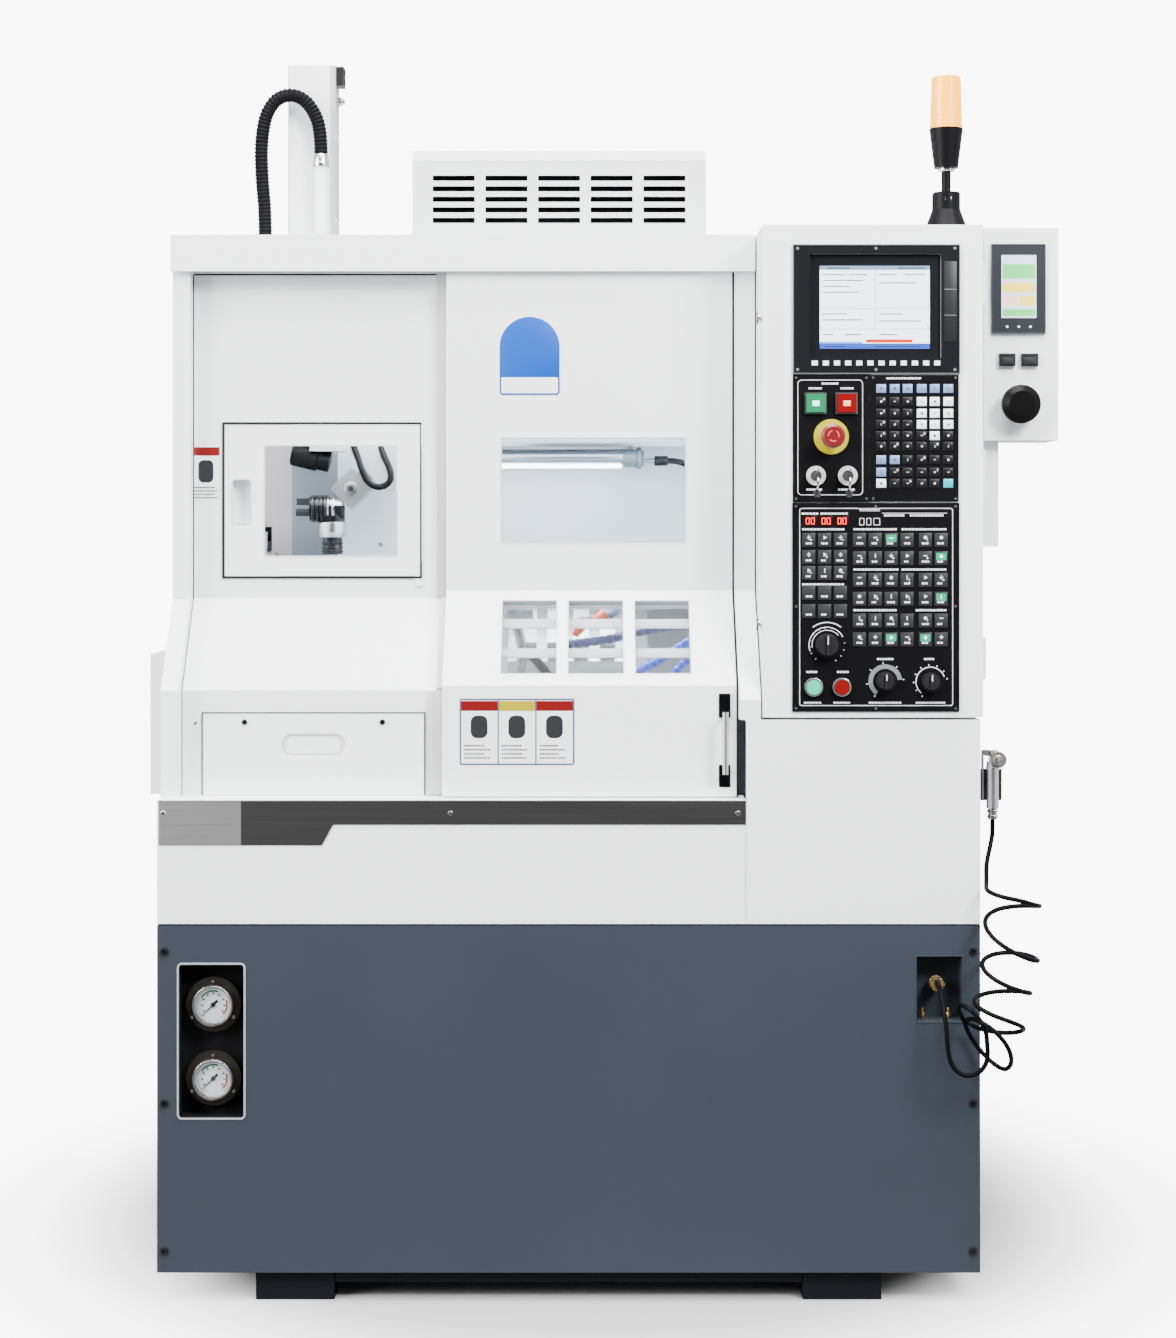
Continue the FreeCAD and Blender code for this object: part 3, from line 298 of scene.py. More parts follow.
def build(name, material, body, bevel, *shapes):
    """A piece of several shapes, each given as its function and what that function takes."""
    mesh = bmesh.new()
    for shape, *limits in shapes:
        shape(mesh, *limits)
    made(mesh, name, material, body, bevel)


def blocks(name, material, body, boxes, bevel=0.5):
    """A piece of boxes only, each given by its six limits."""
    build(name, material, body, bevel, *((block, *limits) for limits in boxes))


slate = finish("slate_powder_coat", (0.0205, 0.026, 0.035), 0.55, shade=0.12, shade_scale=4, grain_scale=420,
               grain_depth=0.25, spread=0.14, Specular_IOR_Level=0.12, patches=[
                   ((0.004, 0.004, 0.005), at(-663.5, 2, 313), at(-551.5, 60, 576)),
                   ((0.021, 0.026, 0.034), at(591.5, 2, 477), at(669.5, 60, 589))])
paint(slate, "base_casing")
seam_black = finish("seam_shadow", (0.003, 0.003, 0.003), 0.9, grain_depth=0.02, Specular_IOR_Level=0.05)
lip_grey = finish("recess_lip", (0.22, 0.235, 0.25), 0.4, Specular_IOR_Level=0.3)
blocks("body_seam", seam_black, "machine", [(-699, 699, 2.5, 3.5, 641.2, 643.8)], 0)


CORNER_STEPS = 6


def rounded(x0, x1, z0, z1, corner):
    """The outline of a rectangle with round corners, as (x, z) pairs."""
    spots = []
    for k, (x, z) in enumerate(((x1 - corner, z1 - corner), (x0 + corner, z1 - corner),
                                (x0 + corner, z0 + corner), (x1 - corner, z0 + corner))):
        for n in range(CORNER_STEPS + 1):
            turn = (k + n / CORNER_STEPS) * math.pi / 2
            spots.append((x + corner * math.cos(turn), z + corner * math.sin(turn)))
    return spots


def slab(mesh, outline, y0, y1):
    """A flat plate of an (x, z) outline."""
    near = [mesh.verts.new(at(x, y0, z)) for x, z in outline]
    far = [mesh.verts.new(at(x, y1, z)) for x, z in outline]
    mesh.faces.new(near)
    mesh.faces.new(far[::-1])
    for k in range(len(outline)):
        m = (k + 1) % len(outline)
        mesh.faces.new((near[k], far[k], far[m], near[m]))


def skin_over(mesh, rows, closed):
    """Faces between rows of four corners, joined in a ring or closed by a face at each end."""
    ring = rows + rows[:1] if closed else rows
    for here, after in zip(ring, ring[1:]):
        for k in range(4):
            m = (k + 1) % 4
            mesh.faces.new((here[k], here[m], after[m], after[k]))
    if not closed:
        mesh.faces.new(rows[0])
        mesh.faces.new(rows[-1][::-1])


def trim(mesh, x0, x1, z0, z1, wide, corner, y0, y1):
    """A band of even width just inside a rectangle with round corners."""
    outer = rounded(x0, x1, z0, z1, corner)
    inner = rounded(x0 + wide, x1 - wide, z0 + wide, z1 - wide, max(corner - wide, 0.3))
    skin_over(mesh, [[mesh.verts.new(at(x, y, z)) for (x, z), y in ((a, y0), (a, y1), (b, y1), (b, y0))]
                     for a, b in zip(outer, inner)], True)


build("gauge_recess_lip", lip_grey, "machine", 0.3, (trim, -666, -549, 311, 578, 3.5, 9, -1, 0))
build("air_recess_lip", slate, "machine", 0.3, (trim, 589, 672, 475, 591, 2.5, 4, -0.8, 0))


def new_tree(name, *sockets):
    """An empty Geometry Nodes tree with named inputs, its input and output nodes and its mesh output."""
    return new_group(name, "GeometryNodeTree", sockets, [("Mesh", "Geometry")])


def close_tree(tree, into, out, last, socket):
    """Ends a tree: the copies become real and take their finish."""
    real = step(tree, "GeometryNodeRealizeInstances", Geometry=(last, socket))
    dressed = step(tree, "GeometryNodeSetMaterial", Geometry=(real, 0), Material=(into, "Finish"))
    plug(tree, out, Mesh=(dressed, 0))


def run_nodes(source, tree, **values):
    """The plain mesh that a tree makes of an object, which is then removed."""
    modifier = source.modifiers.new("nodes", "NODES")
    modifier.node_group = tree
    for name, value in values.items():
        modifier[next(s.identifier for s in tree.interface.items_tree
                      if s.name == name.replace("_", " ") and s.in_out == "INPUT")] = value
    name = source.name
    source.update_tag()
    seen = source.evaluated_get(bpy.context.evaluated_depsgraph_get())
    data = bpy.data.meshes.new_from_object(seen)
    bpy.data.objects.remove(source)
    piece = bpy.data.objects.new(name, data)
    bpy.context.collection.objects.link(piece)
    for face in data.polygons:
        face.use_smooth = True
    data.set_sharp_from_angle(angle=SHARP)
    return piece


def spots_of(name, spots):
    """An object of loose points, for a tree that sets something at each."""
    data = bpy.data.meshes.new(name)
    data.from_pydata([at(*spot) for spot in spots], [], [])
    holder = bpy.data.objects.new(name, data)
    bpy.context.collection.objects.link(holder)
    return holder


screw_tree, into, out = new_tree("socket_screws", ("Points", "Geometry"), ("Radius", "Float", 0.005),
                                 ("Height", "Float", 0.002), ("Turn", "Vector"), ("Finish", "Material"))
narrow = maths(screw_tree, "MULTIPLY", (into, "Radius"), 0.8)
button = step(screw_tree, "GeometryNodeMeshCone", Vertices=20, Radius_Top=(narrow, 0),
              Radius_Bottom=(into, "Radius"), Depth=(into, "Height"))
inset = step(screw_tree, "GeometryNodeExtrudeMesh", Mesh=(button, "Mesh"), Selection=(button, "Top"),
             Offset_Scale=0.0)
shrunk = step(screw_tree, "GeometryNodeScaleElements", Geometry=(inset, "Mesh"), Selection=(inset, "Top"),
              Scale=0.6)
down = maths(screw_tree, "MULTIPLY", (into, "Height"), -0.7)
socket = step(screw_tree, "GeometryNodeExtrudeMesh", Mesh=(shrunk, 0), Selection=(inset, "Top"),
              Offset_Scale=(down, 0))
turned = step(screw_tree, "FunctionNodeEulerToRotation", Euler=(into, "Turn"))
copies = step(screw_tree, "GeometryNodeInstanceOnPoints", Points=(into, "Points"), Instance=(socket, "Mesh"),
              Rotation=(turned, 0))
close_tree(screw_tree, into, out, copies, 0)
TO_FRONT = (math.pi / 2, 0, 0)
TO_LEFT = (0, -math.pi / 2, 0)
TO_RIGHT = (0, math.pi / 2, 0)


def screws(name, material, body, spots, radius, height, turn=TO_FRONT):
    """Button-head socket screws at a list of spots, all facing one way."""
    piece = run_nodes(spots_of(name, spots), screw_tree, Radius=radius * MM, Height=height * MM, Turn=turn,
                      Finish=material)
    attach(piece, body)
    return piece


black_steel = finish("black_oxide_steel", (0.004, 0.004, 0.005), 0.35, grain_depth=0.01,
                     Specular_IOR_Level=0.4)
bright_steel = finish("bright_steel", (0.6, 0.6, 0.6), 0.25, shade=0.1, shade_scale=20, grain_scale=500,
                      grain_depth=0.01, Metallic=1.0)
casing_screws = screws("casing_screws", black_steel, "machine",
                       [(x, 0, z) for x in (-687.5, 687.5) for z in (597, 339, 88)], 7, 4)
screws("strip_screws", bright_steel, "machine", [(x, -1.5, 832) for x in (-689, -201, 288)], 4.5, 2)
screws("access_cover_screws", black_steel, "machine", [(x, 62, 982) for x in (-560, -322)], 5, 3)
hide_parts("cover_screws")

# ---------------------------------------------------------------- feet
# Two block feet and the skirt between them are near-black painted steel, bolted under the casing.
# The light scarcely reaches them.
paint(finish("foot_paint", (0.004, 0.005, 0.0065), 0.5, grain_depth=0.1, Specular_IOR_Level=0.05),
      "base_feet")
paint(finish("tank_zinc", (0.35, 0.36, 0.37), 0.4, shade=0.2, shade_scale=30, Metallic=1.0), "coolant_tank")

# ---------------------------------------------------------------- pressure gauges
# Two filled gauges stand in the black pan. Each has a bronze-dark flange, a bright bezel, a white dial
# with printed marks and a red and a green arc, a black needle and a glass held by the bezel.
paint(finish("gauge_metal", (0.035, 0.03, 0.024), 0.3, shade=0.2, shade_scale=40, grain_scale=300,
             grain_depth=0.02, Metallic=0.7, patches=[
                 ((0.55, 0.4, 0.2), at(600, 0, 500), at(660, 60, 580))]), "air_fittings")
needle_black = finish("needle_black", (0.004, 0.004, 0.004), 0.5, grain_depth=0.01)
paint(needle_black, "high_gauge_needle", "low_gauge_needle")
dial_white = finish("dial_print", (0.8, 0.81, 0.82), 0.6, grain_depth=0.01)
mark_black = finish("printed_black", (0.006, 0.006, 0.007), 0.6, grain_depth=0.01)
mark_red = finish("printed_red", (0.3, 0.004, 0.004), 0.5, grain_depth=0.01)
mark_green = finish("printed_green", (0.004, 0.18, 0.03), 0.5, grain_depth=0.01)

tick_tree, into, out = new_tree("dial_marks", ("Blank", "Geometry"), ("Count", "Int", 10),
                                ("From", "Float", 0.0), ("To", "Float", 1.0), ("Radius", "Float", 0.02),
                                ("Long", "Float", 0.004), ("Wide", "Float", 0.001),
                                ("Deep", "Float", 0.0002), ("Centre", "Vector"), ("Finish", "Material"))
row = step(tick_tree, "GeometryNodeMeshLine", Count=(into, "Count"))
number = step(tick_tree, "GeometryNodeInputIndex")
last = maths(tick_tree, "SUBTRACT", (into, "Count"), 1.0)
share = maths(tick_tree, "DIVIDE", (number, 0), (last, 0))
sweep = maths(tick_tree, "SUBTRACT", (into, "To"), (into, "From"))
turn = maths(tick_tree, "MULTIPLY_ADD", (share, 0), (sweep, 0), (into, "From"))
sine = maths(tick_tree, "SINE", (turn, 0))
cosine = maths(tick_tree, "COSINE", (turn, 0))
ring = step(tick_tree, "ShaderNodeCombineXYZ", X=(sine, 0), Z=(cosine, 0))
wide_ring = step(tick_tree, "ShaderNodeVectorMath", {"operation": "SCALE"}, _0=(ring, 0),
                 Scale=(into, "Radius"))
spot = maths(tick_tree, "ADD", (wide_ring, 0), (into, "Centre"), kind=VECTORS)
moved = step(tick_tree, "GeometryNodeSetPosition", Geometry=(row, 0), Position=(spot, 0))
bar_size = step(tick_tree, "ShaderNodeCombineXYZ", X=(into, "Wide"), Y=(into, "Deep"), Z=(into, "Long"))
bar = step(tick_tree, "GeometryNodeMeshCube", Size=(bar_size, 0))
lean = step(tick_tree, "ShaderNodeCombineXYZ", Y=(turn, 0))
leaning = step(tick_tree, "FunctionNodeEulerToRotation", Euler=(lean, 0))
copies = step(tick_tree, "GeometryNodeInstanceOnPoints", Points=(moved, 0), Instance=(bar, 0),
              Rotation=(leaning, 0))
close_tree(tick_tree, into, out, copies, 0)


def marks(name, material, body, centre, radius, count, start, end, long, wide):
    """Printed marks set round a dial, from one angle to another, clockwise from the top, in degrees."""
    piece = run_nodes(spots_of(name, [(0, 0, 0)]), tick_tree, Count=count, From=math.radians(start),
                      To=math.radians(end), Radius=radius * MM, Long=long * MM, Wide=wide * MM, Deep=0.3 * MM,
                      Centre=at(*centre), Finish=material)
    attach(piece, body)


def arc_band(mesh, x, y, z, inner, outer, start, end, thick=0.3, steps=28):
    """A flat curved band on a dial, clockwise from the top."""
    edges = []
    for k in range(steps + 1):
        turn = math.radians(start + (end - start) * k / steps)
        edges.append([mesh.verts.new(at(x + r * math.sin(turn), deep, z + r * math.cos(turn)))
                      for r, deep in ((inner, y), (outer, y), (outer, y + thick), (inner, y + thick))])
    skin_over(mesh, edges, False)


glass = finish("clear_glass", (0.95, 0.98, 1), 0.03, shade=0.02, grain_depth=0.0, spread=0.01,
               Transmission_Weight=1.0, IOR=1.12)
GAUGE_X = -607
GAUGE_LEVELS = (503, 377)
dials, bezels, red_arcs, green_arcs, lenses = (bmesh.new() for _ in range(5))
for level in GAUGE_LEVELS:
    rod(dials, "y", GAUGE_X, 19.2, level, 33, 0.7, sides=64)
    spun(bezels, "y", GAUGE_X, 8, level,
         [(35, 9), (35, 2), (33.5, 0), (31.5, 0), (31.5, 2.5), (33, 3.5), (33, 9)], 64)
    rod(lenses, "y", GAUGE_X, 11.2, level, 32.5, 1.4, sides=64)
    arc_band(red_arcs, GAUGE_X, 18.9, level, 22, 24.5, 70, 135)
    arc_band(green_arcs, GAUGE_X, 18.9, level, 22, 24.5, -60, 20)
    marks(f"gauge_marks_{level}", mark_black, "machine", (GAUGE_X, 19, level), 28, 51, -135, 135, 3, 0.5)
    marks(f"gauge_numbers_{level}", mark_black, "machine", (GAUGE_X, 19, level), 19, 9, -125, 125, 4, 2.2)
made(dials, "gauge_dials", dial_white, "machine", 0)
made(bezels, "gauge_bezels", bright_steel, "machine", 0.2)
made(red_arcs, "gauge_red_arcs", mark_red, "machine", 0)
made(green_arcs, "gauge_green_arcs", mark_green, "machine", 0)
made(lenses, "gauge_glasses", glass, "machine", 0)
screws("gauge_flange_screws", bright_steel, "machine",
       [(GAUGE_X + 41 * math.cos(turn), 14, level + 41 * math.sin(turn))
        for level in GAUGE_LEVELS for turn in (math.radians(90), math.radians(210), math.radians(330))],
       3.2, 1.6)

# ---------------------------------------------------------------- air inlet
# A brass push-in fitting sits in the right-hand recess, with its release collar round the hose.
# Two small brass nipples stand on the recess's floor beside it.
brass = finish("brass", (0.6, 0.42, 0.18), 0.28, shade=0.15, shade_scale=60, Metallic=1.0)
mesh = bmesh.new()
spun(mesh, "y", 628, 4, 540, [(12.5, 0), (13.5, 2), (13.5, 7), (12.4, 8), (12.3, 8), (12.3, 0)], 6)
for x in (605, 650):
    rod(mesh, "z", x, 30, 479, 5, 9, sides=6)
    rod(mesh, "z", x, 30, 488, 3.2, 8)
made(mesh, "inlet_brass", brass, "machine", 0.4)

# ---------------------------------------------------------------- white enclosure
# Folded steel sheet with a satin white powder coat, which has a faint orange peel.
# A grey strip beside the door's left edge is painted shadow: the door's shadow on the fixed panel, narrowest
# on the slant. A thin gap beside the left post is drawn as a black painted shadow line.
white = finish("white_powder_coat", (0.74, 0.755, 0.77), 0.45, shade=0.03, grain_scale=700, grain_depth=0.05,
               Specular_IOR_Level=0.3)
paint(white, "lower_panels", "side_panels", "corner_posts", "left_front_panel", "access_cover", "rear_panel",
      "roof_panel", "door_panel", "hatch_door", "control_box", "control_door", "loader_mount")
band_grey = finish("grey_trim_and_painted_shadow", (0.5, 0.5, 0.495), 0.5, grain_depth=0.03)
rubber = finish("black_rubber", (0.006, 0.006, 0.007), 0.6, grain_depth=0.05, Specular_IOR_Level=0.2)


def follow(mesh, x0, x1, line, thick):
    """A strip of sheet from x0 to x1 along a line of (y, z) points that go up, standing thick out of it."""
    rows = []
    for k, (y, z) in enumerate(line):
        before, after = line[max(k - 1, 0)], line[min(k + 1, len(line) - 1)]
        run, rise = after[0] - before[0], after[1] - before[1]
        reach = math.hypot(run, rise)
        out_y, out_z = -rise / reach, run / reach
        rows.append([mesh.verts.new(at(x, y + out_y * off, z + out_z * off))
                     for x, off in ((x0, thick), (x1, thick), (x1, 0), (x0, 0))])
    skin_over(mesh, rows, False)


SIDE = 700
REAR_SKIN = (1249.5, 1250.05)
ROOF_SKIN = (1832.6, 1833.05)
screws("side_panel_screws_left", bright_steel, "machine",
       [(-SIDE, y, z) for y in (150, 550, 900, 1220) for z in (670, 1800)], 4, 2, TO_LEFT)
screws("side_panel_screws_right", bright_steel, "machine",
       [(SIDE, y, z) for y in (550, 900, 1220) for z in (670, 1800)], 4, 2, TO_RIGHT)
blocks("side_louvres", seam_black, "machine",
       [(x - 0.1, x + 0.1, 880, 1140, 1000 + 28 * k, 1008 + 28 * k) for x in (-SIDE, SIDE)
        for k in range(8)], 0)
blocks("rear_panel_seams", seam_black, "machine",
       [(-420, -418, *REAR_SKIN, 700, 1780), (418, 420, *REAR_SKIN, 700, 1780),
        (-420, 420, *REAR_SKIN, 1779, 1781), (-420, 420, *REAR_SKIN, 699, 701)]
       + [(-300 + 310 * k, -10 + 310 * k, *REAR_SKIN, 1560 + 26 * n, 1567 + 26 * n) for k in range(2)
          for n in range(6)],
       0)
blocks("roof_seams", seam_black, "machine",
       [(-690, 690, 340, 342, *ROOF_SKIN), (-690, 690, 870, 872, *ROOF_SKIN)], 0)
DOOR_LINE = [(30, 857), (30, 1047), (150, 1207), (150, 1768)]
PANEL_LINE = [(64, 857), (64, 1037), (184, 1193), (184, 1768)]
# Painted shadow: thin black lines in the gaps beside the left post and under the header.
build("left_post_shadow_line", seam_black, "machine", 0, (follow, -669.6, -667.6, PANEL_LINE, 0.6))
blocks("header_shadow_gap", seam_black, "machine", [(-667, -217, 183, 184, 1766.4, 1769)], 0)
# Painted shadow: grey strips on the fixed panel beside the door's left edge, as wide as the door's shadow on
# each face.
mesh = bmesh.new()
for x0, x1, line in ((-236, -217, [(184, 1195), (184, 1768)]), (-229, -217, [(64, 1038), (184, 1192)]),
                     (-244, -217, [(64, 857), (64, 1036)])):
    follow(mesh, x0, x1, line, 4.5)
made(mesh, "door_edge_painted_shadow", band_grey, "machine", 0.8)

# ---------------------------------------------------------------- brushed trim strip
# A strip of brushed stainless steel runs under the enclosure. Its left end is deeper, with a slanted step,
# and carries a white painted reflection.
# Screws hold it, and a thin bright edge runs along its top.
# Painted reflection: the white patch brightens the strip's left end.
brushed = finish("brushed_steel", (0.2, 0.197, 0.195), 0.3, shade=0.3, shade_scale=900, grain_scale=1600,
                 grain_depth=0.03, stretch=(0.004, 1, 1), spread=0.12, Metallic=1.0,
                 patches=[((1, 1, 1), at(-702, -5, 760), at(-557, 40, 870))])
paint(brushed, "trim_strip")
blocks("trim_bright_edge", bright_steel, "machine", [(-697, 301, -1.8, -1.2, 852.6, 854.2)], 0.2)

# ---------------------------------------------------------------- roof vent box
# A light grey sheet box covers the fan opening. Each of its five columns has five slots, and a black sheet
# inside behind them is painted shade. Its lid is a folded sheet with rounded upper corners, screwed on at the
# sides.
vent_grey = finish("vent_coat", (0.52, 0.535, 0.53), 0.45, grain_scale=600, grain_depth=0.06,
                   Specular_IOR_Level=0.3)
paint(vent_grey, "vent_box")
# Painted shade: a black sheet behind the slots darkens the inside of the box.
blocks("vent_inner_shade_sheet", seam_black, "machine", [(-280, 239, 470, 472, 1836, 1990)], 0)
screws("vent_side_screws", bright_steel, "machine",
       [(-292, y, z) for y in (400, 800) for z in (1860, 1980)], 4, 2, TO_LEFT)
screws("vent_side_screws_right", bright_steel, "machine",
       [(251, y, z) for y in (400, 800) for z in (1860, 1980)], 4, 2, TO_RIGHT)

# ---------------------------------------------------------------- left front panel and access cover
# The fixed panel beside the door is folded to the same slant. The cover at its foot lifts off by its slot,
# and has two screws and a dark rubber edge.
mesh = bmesh.new()
for x0, x1, z0, z1 in ((-634, -248, 997, 999), (-634, -632, 857, 997), (-250, -248, 857, 997)):
    block(mesh, x0, x1, 61.6, 63.9, z0, z1)
made(mesh, "cover_edge_gasket", seam_black, "machine", 0)
build("cover_slot_lip", band_grey, "machine", 0.3, (trim, -493, -390, 927, 963, 2.5, 12, 61.2, 62))
screws("cover_side_screw", bright_steel, "machine", [(-645, 64, 980)], 3, 1.5)
label_white = finish("label_film", (0.72, 0.73, 0.74), 0.35, grain_depth=0.01)
label_red = finish("label_red", (0.12, 0.0006, 0.001), 0.35, grain_depth=0.01)
label_yellow = finish("label_yellow", (0.3, 0.24, 0.0), 0.35, grain_depth=0.01)
label_ink = finish("label_ink", (0.01, 0.011, 0.013), 0.4, grain_depth=0.01)


def dashes(mesh, x0, x1, z, tall, y, thick=0.15, seed=0):
    """A printed row that stands for small print: short bars of uneven length with gaps."""
    x = x0
    k = seed
    while x < x1 - tall:
        wide = tall * (0.8 + 0.9 * abs(math.sin(12.9 * k + 1.3)))
        block(mesh, x, min(x + wide, x1), y - thick, y, z, z + tall)
        x += wide + tall * 0.35
        k += 1


build("side_label", label_white, "machine", 0, (slab, rounded(-671, -621, 1366, 1462, 2), 183.6, 184))
blocks("side_label_band", label_red, "machine", [(-670, -622, 183.3, 183.6, 1446, 1461)], 0)
mesh = bmesh.new()
for k, z in enumerate((1388, 1382, 1376, 1370)):
    dashes(mesh, -667, -630 + 5 * (k % 2), z, 2.4, 183.6, seed=k)
slab(mesh, rounded(-660, -633, 1398, 1438, 9), 183.45, 183.6)
made(mesh, "side_label_print", label_ink, "machine", 0)

# ---------------------------------------------------------------- loading hatch
# A white leaf with a window, set in a black rubber gasket. A deep oblong pull is pressed into its free side,
# and a thin trim holds the pane.
paint(glass, "hatch_window")
blocks("hatch_gasket", rubber, "machine", [
    (-617.4, -613.4, 181.5, 186, 1227.6, 1505.4), (-613.4, -273, 181.5, 186, 1501.4, 1505.4),
    (-613.4, -273, 181.5, 186, 1227.6, 1231.6), (-273, -262.5, 179.8, 180.4, 1501.4, 1505.4),
    (-273, -262.5, 179.8, 180.4, 1227.6, 1231.6), (-265.2, -262.5, 179.8, 180.4, 1231.6, 1501.4)], 0.2)
build("hatch_pane_trim", band_grey, "hatch", 0.2, (trim, -544, -305, 1266, 1465, 2, 2, 182.4, 183))
pull_grey = finish("pull_liner", (0.45, 0.46, 0.465), 0.5, grain_depth=0.03)
build("hatch_pull_lip", pull_grey, "hatch", 0.3, (trim, -601, -565, 1323, 1405, 2.5, 8, 182.2, 183))

# ---------------------------------------------------------------- main door
# One folded white sheet slides to the left on a rail. It has an upper pane, three panes in its slant,
# a bar handle on two dark plates, a rubber seal down its closing edge and a plain blue plate.
paint(glass, "door_windows")
paint(finish("rail_steel", (0.45, 0.45, 0.45), 0.35, Metallic=1.0), "door_rail")
paint(finish("handle_steel", (0.62, 0.62, 0.61), 0.22, shade=0.1, shade_scale=200, stretch=(1, 1, 0.02),
             Metallic=0.9, patches=[((0.012, 0.013, 0.015), at(240, 16, 990), at(290, 31, 1036)),
                      ((0.012, 0.013, 0.015), at(240, 16, 870), at(290, 31, 914))]), "door_handle")
build("handle_plates", black_steel, "main_door", 0.3,
      (slab, rounded(257, 277, 992, 1034, 2), 28.5, 30), (slab, rounded(257, 277, 873, 912, 2), 28.5, 30))
screws("handle_screws", bright_steel, "main_door", [(267, 28.5, z) for z in (1029, 998, 906, 879)], 2.6, 1.2)
build("door_edge_seal", rubber, "main_door", 0, (follow, 287.2, 290.6, DOOR_LINE, 0.8))
build("upper_pane_gasket", band_grey, "main_door", 0,
      (trim, -121.6, 206.6, 1290.4, 1477.6, 1.8, 3, 149.5, 150))


DOOR_FACE = 150
CREASE = 1207
PANE_TOP = CREASE - 22
SLANT_PANES = (-117, -1, 115)


def onto_slant(mesh):
    """Leans what was built upright in the door's upper plane back onto its slant."""
    pivot = at(0, DOOR_FACE, CREASE)
    tilt = Matrix.Rotation(-math.atan2(120, 160), 4, "X")
    lean = Matrix.Translation(pivot) @ tilt @ Matrix.Translation(-pivot)
    bmesh.ops.transform(mesh, matrix=lean, verts=mesh.verts)


mesh = bmesh.new()
for left in SLANT_PANES:
    trim(mesh, left - 1.5, left + 96.5, PANE_TOP - 154.5, PANE_TOP + 1.5, 1.6, 2, DOOR_FACE - 0.6, DOOR_FACE)
onto_slant(mesh)
made(mesh, "slant_pane_gaskets", band_grey, "main_door", 0)
bar_white = finish("pane_bars", (0.78, 0.79, 0.8), 0.4, grain_depth=0.02)
mesh = bmesh.new()
for left in SLANT_PANES:
    for top in (29, 91):
        block(mesh, left - 1, left + 96, 165.5, 168.5, PANE_TOP - top - 19, PANE_TOP - top)
onto_slant(mesh)
made(mesh, "slant_pane_bars", bar_white, "main_door", 0.6)

ARCH_X, ARCH_Z, ARCH_RADIUS = -70, 1637, 53
badge_blue = finish("badge_blue", (0.0, 0.05, 0.3), 0.3, shade=0.04, grain_depth=0.01)
mesh = bmesh.new()
crown = [(ARCH_X + ARCH_RADIUS * math.cos(math.radians(a)), ARCH_Z + ARCH_RADIUS * math.sin(math.radians(a)))
         for a in range(0, 181, 9)]
slab(mesh, crown + [(-123, 1556), (-119, 1552), (-21, 1552), (-17, 1556)], DOOR_FACE - 0.8, DOOR_FACE)
made(mesh, "door_badge", badge_blue, "main_door", 0.2)
build("door_badge_band", label_white, "main_door", 0,
      (slab, rounded(-120, -20, 1555, 1583, 3), 148.9, 149.2))
label_edge = finish("label_border", (0.05, 0.07, 0.13), 0.35, grain_depth=0.01)
build("door_label_border", label_edge, "main_door", 0, (slab, rounded(-187, 10, 911, 1025, 3), 29.7, 30))
fields, reds, yellows, ink = (bmesh.new() for _ in range(4))
for k, header in enumerate((reds, yellows, reds)):
    left = -184 + 64.5 * k
    block(fields, left, left + 62, 29.5, 29.7, 914, 1022)
    block(header, left, left + 62, 29.3, 29.5, 1004, 1021)
    slab(ink, rounded(left + 16, left + 45, 957, 996, 11), 29.35, 29.5)
    for n, z in enumerate((943, 936, 929, 922)):
        dashes(ink, left + 5, left + 40 + 9 * (n % 2), z, 2.6, 29.5, seed=3 * k + n)
made(fields, "door_label_fields", label_white, "main_door", 0)
made(reds, "door_label_red_bands", label_red, "main_door", 0)
made(yellows, "door_label_yellow_band", label_yellow, "main_door", 0)
made(ink, "door_label_print", label_ink, "main_door", 0)

# ---------------------------------------------------------------- inside of the work chamber
# Pale sheet-metal splash walls close the chamber behind the spindle and at the right.
# The bed, headstock and slides are painted castings with ground steel ways.
splash = finish("splash_wall", (0.78, 0.83, 0.88), 0.35, shade=0.05, shade_scale=1.5, grain_depth=0.02,
                patches=[
    ((0.14, 0.16, 0.185), at(-541, 555, 1200), at(-452, 570, 1780)),
    ((0.36, 0.31, 0.3), at(-700, 555, 1200), at(-541, 570, 1780))])
blocks("splash_walls", splash, "machine", [
    (-690, -580, 562, 565, 1320, 1765), (-580, -285, 562, 565, 1250, 1765),
    (-285, 286, 562, 565, 1286, 1765), (283, 286, 182, 562, 868, 1765), (-690, 283, 181, 318, 860, 863)], 0.8)
screws("splash_wall_bolts", bright_steel, "machine",
       [(-369, 562, 1285), (-330, 562, 1600), (60, 562, 1720)], 5, 4)
paint(finish("way_cover_paint", (0.6, 0.62, 0.64), 0.4, shade=0.06, grain_depth=0.04), "carriage",
      "headstock")
paint(finish("casting_paint", (0.4, 0.42, 0.44), 0.5, shade=0.1, grain_scale=250, grain_depth=0.2),
      "bed_casting")
paint(finish("ground_steel", (0.55, 0.55, 0.54), 0.25, shade=0.15, shade_scale=60, stretch=(0.05, 1, 1),
             Metallic=1.0), "cross_slide", "collet_spindle")
paint(finish("motor_black", (0.008, 0.008, 0.009), 0.45, grain_depth=0.05), "spindle_motor")

# ---------------------------------------------------------------- chamber lamp
# A sealed tube lamp in an aluminium housing hangs below a rail on the back wall. Its lower edge is lit.
# A grey cap, a bright stem and a black plug with its cable close its right end.
alloy = finish("brushed_alloy", (0.36, 0.38, 0.41), 0.3, shade=0.25, shade_scale=400, stretch=(0.01, 1, 1),
               grain_depth=0.02, Metallic=1.0)
TUBE_Y = 500
cap_grey = finish("lamp_cap_grey", (0.12, 0.15, 0.18), 0.4, grain_depth=0.03)
mesh = bmesh.new()
rod(mesh, "x", -250, TUBE_Y, 1453, 15, 362, sides=32)
rod(mesh, "x", -252, TUBE_Y, 1453, 17, 10, sides=32)
block(mesh, -280, 250, 470, 562, 1478, 1488)
block(mesh, -280, 250, 469, 471, 1472, 1490)
for x in (-180, 108):
    block(mesh, x, x + 16, 494, 506, 1467, 1479)
